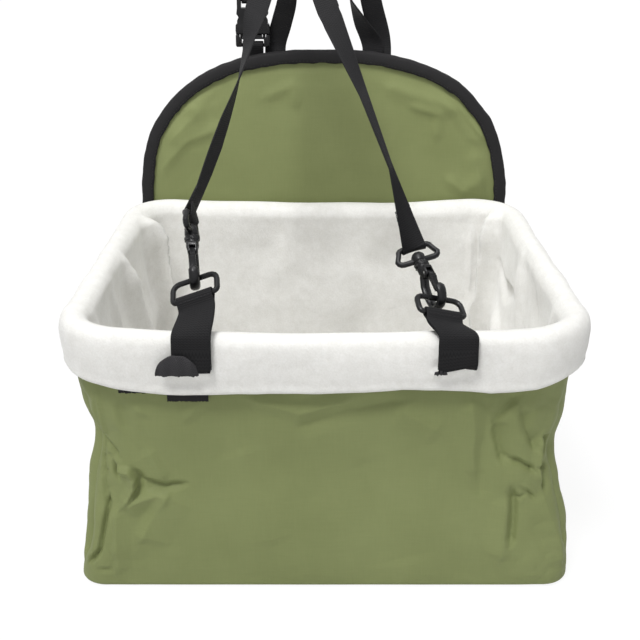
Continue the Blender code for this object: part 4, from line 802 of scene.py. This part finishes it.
PANEL_HALF = 0.179
PANEL_HEIGHT = 0.384
PANEL_SPRING = 0.236
PANEL_POWER = 2.5
PANEL_FOOT = 0.0040
PANEL_REST = 0.1525
PANEL_STACK = 0.0052
PANEL_LEAN = math.atan2(0.0112, RIM_TOP)
PANEL_CLOTH = 0.0008
TAPE_WIDTH = 0.0105
# The cloth lies flat under the tape and a little beyond it, and swells from there.
UNDER_TAPE = 1.45
PANEL_SWELL = 0.0016
CREASE_SINK = 0.0003
# How far in from there, as shares of the half width, the swell, the ripples and the creases are whole.
SWELL_IN, RIPPLES_IN, CREASES_IN = 0.10, 0.12, 0.06
SWELL_POWER = 0.7
PANEL_RIPPLES = ((0.085, 61, 0.0022), (0.03, 67, 0.0006))


def panel_spot(across, up, back):
    """Places on the leaning panel from places across it, up it and back through it."""
    y = PANEL_REST + up * math.sin(PANEL_LEAN) + back * math.cos(PANEL_LEAN)
    z = up * math.cos(PANEL_LEAN) - back * math.sin(PANEL_LEAN)
    return np.stack([across, y, z], -1)


# The arch's length as a share of the round arch of its size, and what spreads its points evenly.
ARCH_SHARE = 0.55
ARCH_EVEN = 0.09


def panel_edge(t):
    """Places along the panel's edge, from its right foot over the arch to its left foot."""
    half = PANEL_HALF
    rise = PANEL_HEIGHT - PANEL_SPRING
    leg = PANEL_SPRING - PANEL_FOOT
    arch = math.pi * 0.5 * (half + rise) * ARCH_SHARE
    total = 2 * (leg + arch)
    s = t * total
    power = 2.0 / PANEL_POWER
    angle = clamp((s - leg) / (2 * arch)) * math.pi
    angle = angle - ARCH_EVEN * np.sin(4 * angle)
    across = np.sign(np.cos(angle)) * np.abs(np.cos(angle)) ** power * half
    up = PANEL_SPRING + rise * np.abs(np.sin(angle)) ** power
    up = np.where(s < leg, PANEL_FOOT + s, np.where(s > total - leg, PANEL_FOOT + total - s, up))
    across = np.where(s < leg, half, np.where(s > total - leg, -half, across))
    return across, up


def panel_face_place(back, sign):
    """A face of the panel: shrinks from the edge to a line up its middle, with a slight swell."""
    def place(u, v):
        side = 2 * u - 1
        top = PANEL_SPRING + (PANEL_HEIGHT - PANEL_SPRING) * (1 - np.abs(side) ** PANEL_POWER) ** (1 / PANEL_POWER)
        across = side * PANEL_HALF
        up = PANEL_FOOT + v * (top - PANEL_FOOT)
        edge = np.min([PANEL_HALF - np.abs(across), top - up, up - PANEL_FOOT], axis=0)
        edge = np.maximum(edge - UNDER_TAPE * TAPE_WIDTH, 0) / PANEL_HALF
        spots = np.stack([across, np.full_like(across, back), up], -1)
        swell = PANEL_SWELL * clamp(edge / SWELL_IN) ** SWELL_POWER
        swell += ripples(spots, PANEL_RIPPLES, sign) * clamp(edge / RIPPLES_IN)
        swell += np.maximum(crease_height(across, up, PANEL_CREASES), -CREASE_SINK) * clamp(edge / CREASES_IN)
        return panel_spot(across, up, back + sign * swell)
    return place


# Creases of the panel, as those of the tub, by places across and up.
PANEL_CREASES = (
    (2.6, 12, 16, (-135, 325), (-100, 364)),
    (2.2, 16, 12, (-152, 296), (-116, 332)),
    (2.0, 9, 14, (-172, 258), (-134, 298), (-98, 312)),
    (-1.8, 8, 12, (-158, 244), (-120, 280)),
    (1.8, 12, 12, (-62, 374), (2, 366)),
    (1.6, 10, 10, (-60, 340), (-30, 352), (-24, 330)),
    (1.8, 7, 9, (84, 332), (112, 324), (110, 298)),
    (-1.6, 8, 10, (122, 342), (152, 300)),
    (2.6, 16, 14, (108, 362), (158, 298)),
    (1.8, 14, 16, (58, 352), (132, 328)),
    (2.0, 14, 12, (146, 288), (162, 238)),
    (1.8, 12, 9, (172, 268), (138, 248), (120, 262)),
    (1.8, 22, 22, (-32, 202), (52, 180)),
    (1.6, 20, 26, (-150, 180), (-90, 120)),
    (1.6, 26, 20, (150, 170), (84, 90)),
)


for end, back, sign, across, along in (
    ("front", PANEL_CLOTH, -1, 130, 140),
    ("rear", PANEL_STACK - PANEL_CLOTH, 1, 90, 96),
):
    face = shaped_grid("panel_cloth_" + end, across, along, panel_face_place(back, sign), green_cloth)
    if sign * face.data.polygons[len(face.data.polygons) // 2].normal.y < 0:
        edited(face, bpy.ops.mesh.flip_normals)
    finish_with(face, "SOLIDIFY", thickness=PANEL_CLOTH, offset=-1.0)
    placed_on(face, "seat", "green_oxford", "panel_" + end)

# Webbing and tape
# Black ribbed webbing for the straps and tabs, and a thinner tape for the binding. The ribs run across it,
# so the finish follows the piece's own map: metres across and metres along.

def rib_group():
    """Ribs across the webbing, with the warp ends that float over them in columns. Its Shade follows the ribs'
    height: painted shade in the grooves and a lighter tone on the crests.
    """
    group, sizes, end = shader_group("webbing_ribs", {"Rib": 0.0011, "Column": 0.0017})
    place = added(group, "SeparateXYZ", {"Vector": sizes["Vector"]})
    columns = sum_node(group, "DIVIDE", place["X"], sizes["Column"])
    step = sum_node(group, "MULTIPLY", sum_node(group, "PINGPONG", columns, 1.0), 0.5)
    ribs = sum_node(group, "ADD", sum_node(group, "DIVIDE", place["Y"], sizes["Rib"]), step)
    wave, edge = (
        sum_node(group, "ABSOLUTE", sum_node(group, "SINE", sum_node(group, "MULTIPLY", turns, math.pi)))
        for turns in (ribs, columns)
    )
    height = sum_node(group, "MULTIPLY_ADD", edge, 0.25, sum_node(group, "MULTIPLY", wave, 0.75))
    fuzz = grain_node(group, sizes["Vector"], 0.0004, 2.0, 0.6)
    # Half of the colour share is the ribs' height, which paints shade into the grooves between ribs and columns.
    fed(group, end, {
        "Height": sum_node(group, "MULTIPLY_ADD", fuzz, 0.25, height),
        "Shade": sum_node(group, "MULTIPLY_ADD", fuzz, 0.5, sum_node(group, "MULTIPLY", height, 0.5)),
    })
    return group


webbing_ribs = rib_group()


def webbing_paint(name, low, high, rib, column, depth):
    """A ribbed finish between two colours, darker in the grooves between ribs as painted shade, with the spacing of
    its ribs and columns and the ribs' depth.
    """
    paint, tree, shader, _ = painted(name, high, 0.84, gloss=0.16)
    own = added(tree, "UVMap", {}, uv_map="UVMap")["UV"]
    ribs = added(tree, "Group", {"Vector": own, "Rib": rib, "Column": column}, node_tree=webbing_ribs)
    fed(tree, shader, {
        "Base Color": two_colours(tree, ribs["Shade"], low, high),
        "Roughness": mapped(tree, ribs["Height"], 0.0, 1.0, 0.88, 0.62),
        "Normal": bumped(tree, ribs["Height"], depth, 0.8),
    })
    return paint


black_webbing, black_tape, black_twill, black_thread = (
    webbing_paint(*looks) for looks in (
        ("black_webbing", (0.0036, 0.0036, 0.0040), (0.0130, 0.0127, 0.0138), 0.0019, 0.0013, 0.00036),
        ("black_tape", (0.006, 0.006, 0.0066), (0.026, 0.025, 0.026), 0.0007, 0.0010, 0.00014),
        ("black_twill", (0.008, 0.008, 0.009), (0.060, 0.058, 0.062), 0.0013, 0.0013, 0.00040),
        ("black_thread", (0.012, 0.012, 0.013), (0.050, 0.048, 0.050), 0.0005, 0.0010, 0.00008),
    )
)
# An edge of a CAD strap is sharp past this angle.
SHARP = math.radians(60.0)
# A CAD strap's ring counts where its width is within these shares of the strap's.
FEWEST, MOST = 0.9, 1.12
STRAP_SIDES = 24


def strap_section(width, thickness):
    """A flat section with round selvedges, as places across and up, once round from the left edge."""
    radius = thickness / 2
    half = width / 2 - radius
    turn = STRAP_SIDES // 6
    flat = np.linspace(-half, half, (STRAP_SIDES - 2 * turn) // 2)
    bend = math.pi / 2 - math.pi * np.arange(1, turn + 1) / (turn + 1)
    upper = np.stack([flat, np.full_like(flat, radius)], -1)
    right = np.stack([half + radius * np.cos(bend), radius * np.sin(bend)], -1)
    return np.concatenate([upper, right, -upper, -right])


def swept(name, centres, across, up, section, paint, closed=True):
    """A skin whose section, in metres across and up, goes along a line of frames. It has its own map."""
    centres = np.asarray(centres, float)
    steps = distance_along(centres)
    loop = np.vstack([section, section[:1]])
    rows = len(centres) - 1
    count = len(section)

    def picked(u, v):
        return np.rint(u * count).astype(int), np.rint(v * rows).astype(int)

    def place(u, v):
        i, k = picked(u, v)
        return centres[k] + across[k] * loop[i, :1] + up[k] * loop[i, 1:]

    def chart(u, v):
        i, k = picked(u, v)
        return loop[i, 0], steps[k]

    return shaped_grid(name, count, rows, place, paint, chart, closed)


def frames_of(node):
    """A CAD strap's line: the middle, the across and the face direction of each of its rings."""
    skin = bmesh.new()
    skin.from_mesh(nodes[node].data)
    bmesh.ops.remove_doubles(skin, verts=skin.verts, dist=SAME_SPOT)
    links = {corner: [] for corner in skin.verts}
    for edge in skin.edges:
        if edge.calc_face_angle(0.0) > SHARP:
            for corner in edge.verts:
                links[corner].append(edge.other_vert(corner))
    first = next(corner for corner in skin.verts if len(links[corner]) == 3)
    mates = sorted(
        (mate for mate in links[first] if len(links[mate]) == 3), key=lambda mate: (mate.co - first.co).length
    )
    cross = next(corner for corner in links[mates[0]] if corner in links[mates[1]] and corner is not first)
    ring = [first, mates[0], cross, mates[1]]
    known = set(ring)
    lines = []
    while len(ring) == 4:
        a, b, c, d = (corner.co.copy() for corner in ring)
        lines.append(((a + b + c + d) / 4, (c + d - a - b) / 2, (b + c - a - d) / 2))
        ring = [link for corner in ring for link in links[corner] if link not in known]
        known |= set(ring)
    skin.free()
    return [np.array([line[k] for line in lines], float) for k in range(3)]


def unit_rows(rows):
    return rows / np.linalg.norm(rows, axis=1)[:, None]


def strap_route(node, width, times):
    """The middle, the across and the face directions of a CAD strap at evenly spread places, smoothed."""
    middle, across, _ = frames_of(node)
    wide = np.linalg.norm(across, axis=1)
    good = (wide > FEWEST * width) & (wide < MOST * width)
    middle = middle[good]
    across = unit_rows(across[good])
    run = distance_along(middle)
    keep = np.concatenate([[True], np.diff(run) > 10 * SAME_SPOT])
    run = run[keep]
    where = np.interp(np.linspace(0, len(run) - 1, (len(run) - 1) * times + 1), np.arange(len(run)), run)
    middle, across = (np.stack([gentle(run, line, where) for line in rows[keep].T], -1) for rows in (middle, across))
    across = unit_rows(across)
    return middle, across, unit_rows(np.cross(across, unit_rows(np.gradient(middle, axis=0))))


def rows_at(where, run, rows):
    """Rows read off at distances along a line of them."""
    return np.stack([np.interp(where, run, line) for line in np.asarray(rows, float).T], -1)


# The sewing thread's thickness, a stitch's length, and how the thread lies: how much of a stitch it is up, how
# fast it dips, how far it stands out, and how far it is sunk.
THREAD = 0.00062
STITCH = 0.0034
STITCH_POINTS = 7
THREAD_UP, THREAD_DIP, THREAD_OUT, THREAD_SUNK = 0.62, 0.9, 0.85, 0.62
SEAM_INSET = 0.0024


def stitched(name, corners, ups):
    """A row of lockstitch along a line on a surface: a thread that lies on it and dips in once a stitch."""
    run = distance_along(corners)
    spots = np.linspace(0.0, run[-1], max(8, int(run[-1] / STITCH * STITCH_POINTS)))
    line = rows_at(spots, run, corners)
    up = unit_rows(rows_at(spots, run, ups))
    across = unit_rows(np.cross(up, np.gradient(line, axis=0)))
    lie = clamp(THREAD_UP + THREAD_DIP * np.cos(2 * math.pi * spots / STITCH))
    line = line + up * (THREAD * (lie * THREAD_OUT - THREAD_SUNK))[:, None]
    around = np.linspace(0.0, 2 * math.pi, 7)[:-1]
    section = np.stack([np.cos(around), np.sin(around)], -1) * THREAD / 2
    placed_on(swept(name, line, across, up, section, black_thread), "seat", "black_webbing")


def sewn_box(name, route, width, thickness, near, first, last, towards, cross=True):
    """A sewn box on a strap, with a cross in it, from first to last metres along it from the place near a spot."""
    middle = route[0]
    run = distance_along(middle)
    start = run[np.argmin(np.linalg.norm(middle - np.asarray(near), axis=1))]
    a = width / 2 - SEAM_INSET
    turns = [(-a, first), (a, first)]
    if cross:
        turns += [(a, last), (-a, last), (-a, first), (a, last), (-a, last), (a, first)]
    walk = rows_at(np.arange(8 * len(turns) - 7) / 8, np.arange(len(turns)), turns)
    spot, way, up = (rows_at(start + walk[:, 1], run, rows) for rows in route)
    up = up * np.sign(up @ np.asarray(towards, float))[:, None]
    stitched(name, spot + unit_rows(way) * walk[:, :1] + unit_rows(up) * thickness / 2, up)


# The binding's section: shares of the tape's width in from the panel's edge, or a distance beyond it, against
# places from one face, at TAPE_NEAR, to the other. The tape is TAPE_THICK thick and has round folds.
TAPE_NEAR = PANEL_STACK / 2 + 0.0012
BINDING_STEPS = 520
STITCH_ROW = 0.80
outside = [
    (TAPE_WIDTH, TAPE_NEAR + 0.0001), (TAPE_WIDTH * 0.97, TAPE_NEAR + 0.0009), (TAPE_WIDTH * 0.6, TAPE_NEAR + 0.0012),
    (0.0012, TAPE_NEAR + 0.0009), (-0.0009, TAPE_NEAR - 0.0002), (-0.0017, TAPE_NEAR * 0.5),
]
inside = [(TAPE_WIDTH * 0.97, TAPE_NEAR - 0.0004), (0.0010, TAPE_NEAR - 0.0004), (0.0002, TAPE_NEAR * 0.5)]
tape_section = np.array(
    outside + [(-0.0019, 0.0)] + [(across, -back) for across, back in outside[::-1]]
    + [(across, -back) for across, back in inside] + inside[::-1]
)
edge = panel_spot(*panel_edge(np.linspace(0.0, 1.0, BINDING_STEPS)), np.full(BINDING_STEPS, PANEL_STACK / 2))
back_way = np.array([0.0, math.cos(PANEL_LEAN), -math.sin(PANEL_LEAN)])
in_way = unit_rows(np.cross(unit_rows(np.gradient(edge, axis=0)), back_way))
in_way *= -np.sign(in_way[0, 0])
# The tape was folded on by hand, so its width and how close it lies to the edge both wander a little.
waver = ripples(edge, ((0.030, 61, 0.0009), (0.009, 62, 0.0005)))[:, None]
wide = 1.0 + ripples(edge, ((0.014, 63, 0.10), (0.005, 64, 0.05)))[:, None]
thick = 1.0 + np.abs(ripple(edge, 0.007, 65)) * 0.10
binding = swept(
    "panel_tape", edge + in_way * waver, in_way * wide, np.outer(thick, back_way), tape_section, black_tape
)
placed_on(binding, "seat", "black_webbing", "panel_binding")
for end, way in (("front", -back_way), ("rear", back_way)):
    row = edge + in_way * (TAPE_WIDTH * STITCH_ROW + waver) + way * (TAPE_NEAR + 0.0010)
    stitched("binding_stitches_" + end, row, np.tile(way, (BINDING_STEPS, 1)))

# Straps and tabs of webbing
# The tabs are two plies that come out of the slits; the front straps and the headrest strap go over the
# headrest. Each follows the line of its CAD strap, because it is the same piece of webbing.

SIDES = ("left", "right")
# Width and thickness.
TAB = (0.030, 0.0014)
STRAP = (0.020, 0.0015)
# How far each tab's end goes down into its slit at its left and right edge; what lies in front of TAB_FRONT is
# its outer ply, whose last TAB_END is drawn down, and stands off by TAB_OFF.
TAB_DROPS = {"left": (0.0080, 0.0074), "right": (0.0078, 0.0016)}
TAB_FRONT = -0.165
TAB_END = 0.018
TAB_OFF = 0.0024
# Where the sewing starts and ends along a tab and a strap, from the middle of its ring or eye.
TAB_SEWING = 0.0090
STRAP_SEWING = (-0.036, -0.018)
SEWN_FACE = (0, -1, 0.6)


def lower_end(web, left_drop, right_drop):
    """Draws a tab's outer end down into its slit."""
    flat = np.empty(len(web.data.vertices) * 3)
    web.data.vertices.foreach_get("co", flat)
    points = flat.reshape(-1, 3)
    outer = points[:, 1] < TAB_FRONT
    x = points[:, 0]
    share = clamp((x - x[outer].min()) / (x[outer].max() - x[outer].min()))
    near_end = clamp(1 - (points[:, 2] - points[outer, 2].min()) / TAB_END) * outer
    points[:, 1] -= near_end * TAB_OFF
    points[:, 2] -= near_end * (left_drop + (right_drop - left_drop) * share)
    web.data.vertices.foreach_set("co", points.ravel())


for kind, ends, (width, thickness) in (
    ("tab{}_", SIDES, TAB), ("front{}_", SIDES, STRAP), ("headrest{}_", ("lower", "upper"), STRAP),
):
    for end in ends:
        node = kind.format("" if width == TAB[0] else "_strap") + end
        name = kind.format("_web") + end
        web = swept(name, *strap_route(node, width, 3), strap_section(width, thickness), black_webbing)
        if width == TAB[0]:
            lower_end(web, *TAB_DROPS[end])
        placed_on(web, "seat", "black_webbing", node)

for side in SIDES:
    for node, hardware, width, first, last, cross in (
        ("tab_" + side, "ring_" + side, TAB[0], TAB_SEWING, TAB_SEWING, False),
        ("front_strap_" + side, "hook_eye_" + side, STRAP[0], *STRAP_SEWING, True),
    ):
        low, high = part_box(hardware)
        route = strap_route(node, width, 2)
        sewn_box(node + "_stitches", route, width, STRAP[1], (low + high) / 2, first, last, SEWN_FACE, cross)

# Tapes under the cuff, slit facings and anchor patches
# Short ends of thin tape: two stick out below the cuff at the left, one half-moon flap of twill is pulled
# out of each slit, and a patch holds the strap ends on the panel's rear. Their cut edges are a little ragged.

FRAY = 0.0014
GRID_ACROSS = 64
GRID_UP = 14
# The map's share of a metre, when both of its ways run at a slant.
SLANT = 0.7
FLAP_THICK = 0.0008
PATCH_THICK = 0.0010
# The flap's half-moon: its least height as a share, how far it stands off, how much it bulges, where its bulge
# starts and how much of a half turn it takes, its curl and how fast that turns, and its share of the fraying.
FLAP_LEAST = 0.12
FLAP_OFF = 0.0012
FLAP_BULGE = 0.0026
BULGE_START, BULGE_SHARE = 0.12, 0.80
FLAP_CURL = 0.0006
CURL_TURNS = 21.0
FLAP_FRAY = 0.9


def fray(along, seed):
    """How far a cut edge is frayed at places along it."""
    spots = np.stack([along, np.zeros_like(along), np.zeros_like(along)], -1)
    return (np.abs(ripple(spots, 0.0021, seed)) + 0.5 * np.abs(ripple(spots, 0.0009, seed + 1))) * FRAY


def thin_piece(name, node, place, paint, depth=None):
    """A thin sheet across a CAD node's box. place gives its front's y and z. It closes at both ends, and its
    map is in metres, at a slant."""
    low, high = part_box(node)
    size = high - low
    depth = size.y if depth is None else depth

    def fold(u):
        return np.where(u < 0.5, 2 * u, 2 - 2 * u)

    def both(u, v):
        x = low.x + fold(u) * size.x
        y, z = place(x, fold(u), v, low, high)
        behind = clamp(np.minimum(v, 1 - v) * GRID_UP) * depth * (np.abs(u - 0.5) < 0.49) * (u > 0.5)
        return np.stack([x, y + behind, z], -1)

    def chart(u, v):
        return (fold(u) * size.x + v * size.z) * SLANT, (v * size.z - fold(u) * size.x) * SLANT

    placed_on(shaped_grid(name, 2 * GRID_ACROSS, GRID_UP, both, paint, chart), "seat", "black_webbing", node)


def tape_place(seed, drop):
    """A tape's end, which hangs lower than its box by drop."""
    def place(x, u, t, low, high):
        foot = low.z - drop
        return low.y, foot + t * (high.z - foot) + fray(x, seed) * (1 - t)
    return place


def flap_place(seed, foot, share):
    """A half-moon flap that starts at foot in its box and is a share of its height."""
    def place(x, u, t, low, high):
        reach = np.maximum(FLAP_LEAST, np.sqrt(clamp(1 - (2 * u - 1) ** 2))) * share
        bulge = FLAP_BULGE * reach * np.sin(math.pi * (BULGE_START + BULGE_SHARE * t))
        y = high.y - FLAP_OFF - bulge + FLAP_CURL * np.sin(u * CURL_TURNS)
        return y, low.z + foot + reach * t * (high.z - low.z) - FLAP_FRAY * fray(x, seed) * (1 - t)
    return place


def patch_place(x, u, t, low, high):
    """A patch that leans as the panel does."""
    rise = high.z - low.z
    return high.y + (t - 1) * rise * math.tan(PANEL_LEAN), low.z + t * rise


for end, seed, drop in (("outer", 71, 0.0004), ("inner", 75, 0.0062)):
    thin_piece("cuff_tape_end_" + end, "cuff_tape_" + end, tape_place(seed, drop), black_tape)
for side, seed, foot, share in (("left", 81, 0.0020, 1.0), ("right", 85, 0.0034, 0.20)):
    thin_piece("slit_flap_" + side, "slit_facing_" + side, flap_place(seed, foot, share), black_twill, FLAP_THICK)
    thin_piece("anchor_patch_web_" + side, "anchor_patch_" + side, patch_place, black_tape, -PATCH_THICK)

# Rings, snap hooks, sliders and buckle
# Moulded black plastic with a fine grain. The ring turns in the tab; the hook turns on its swivel post in
# the eye's barrel; the gate turns on a steel pin and has ribs for the thumb.

PLASTIC_LOW = (0.003, 0.003, 0.0035)
PLASTIC_HIGH = (0.009, 0.009, 0.010)
# Faces of a CAD solid that meet at less than FLAT are one face, and edges sharper than EDGE are rounded.
FLAT = math.radians(2.0)
EDGE = math.radians(38.0)
SMOOTH = math.radians(40.0)


def plastic_paint():
    paint, tree, shader, spots = painted("black_plastic", PLASTIC_HIGH, 0.30, gloss=0.24)
    cloud = grain_node(tree, spots, 0.012, 2.0, 0.6)
    fed(tree, shader, {
        "Base Color": two_colours(tree, cloud, PLASTIC_LOW, PLASTIC_HIGH),
        "Roughness": mapped(tree, cloud, 0.3, 0.7, 0.22, 0.36),
        "Normal": bumped(tree, grain_node(tree, spots, 0.0006, 2.0, 0.6), 0.00006, 0.5),
    })
    return paint


black_plastic = plastic_paint()


def join_flats():
    bpy.ops.mesh.dissolve_limited(angle_limit=FLAT)


def moulded(node, body, edge):
    """A moulding on a CAD solid: its flat faces joined up and its edges rounded."""
    choose(nodes[node])
    bpy.ops.object.duplicate()
    piece = bpy.context.object
    piece.name = piece.data.name = node + "_moulding"
    edited(piece, merge_seams, join_flats)
    finish_with(piece, "BEVEL", width=edge, segments=2, limit_method="ANGLE", angle_limit=EDGE)
    bpy.ops.object.shade_smooth_by_angle(angle=SMOOTH)
    piece.data.materials.clear()
    piece.data.materials.append(black_plastic)
    placed_on(piece, body, "black_plastic", node)


for part, ends, body, edge in (
    ("ring_", SIDES, "ring_", 0.0002), ("hook_body_", SIDES, "hook_", 0.0003), ("hook_eye_", SIDES, "seat", 0.0003),
    ("hook_gate_", SIDES, "gate_", 0.0003), ("slider_", SIDES, "slider_", 0.0004),
    ("buckle_", ("female", "male"), "seat", 0.0005), ("buckle_prong_", SIDES, "prong_", 0.0004),
):
    for end in ends:
        moulded(part + end, body if body == "seat" else body + end, edge)

# The ribbed sleeve round the swivel, from the hook's collar up to the eye.
COLLAR_PLACE = 0.0050
COLLAR_SHARE = 0.96
COLLAR_RADIUS = 0.0055
COLLAR_ROUND = 0.0004
COLLAR_GAP = 0.0001
COLLAR_ENDS = 5.0
RIB = 0.0006
RIBS = 11
RIB_TWIST = 5.0
RIB_STEEP = 1.4


def collar_place(way, normal, top):
    """The sleeve round the axis way, which starts a little under top."""
    across = normal.cross(way)

    def place(u, v):
        turn = 2 * math.pi * u
        ends = clamp(np.minimum(v, 1 - v) * COLLAR_ENDS)
        ribs = clamp(np.cos(RIBS * turn + RIB_TWIST * v) * RIB_STEEP)
        radius = COLLAR_RADIUS - COLLAR_ROUND * (1 - ends) + RIB * ribs * ends
        around = np.outer(np.cos(turn) * radius, across) + np.outer(np.sin(turn) * radius, normal)
        return around + np.asarray(top) - np.outer(COLLAR_PLACE * (1 - v) * COLLAR_SHARE + COLLAR_GAP, way)
    return place


for side in SIDES:
    way, normal = (Vector(joints[name + side]["axis"]).normalized() for name in ("hook_swivel_", "gate_open_"))
    place = collar_place(way, normal, joints["hook_swivel_" + side]["pos_m"])
    collar = shaped_grid("hook_collar_ribs_" + side, 132, 14, place, black_plastic, closed=True)
    placed_on(collar, "hook_" + side, "black_plastic")
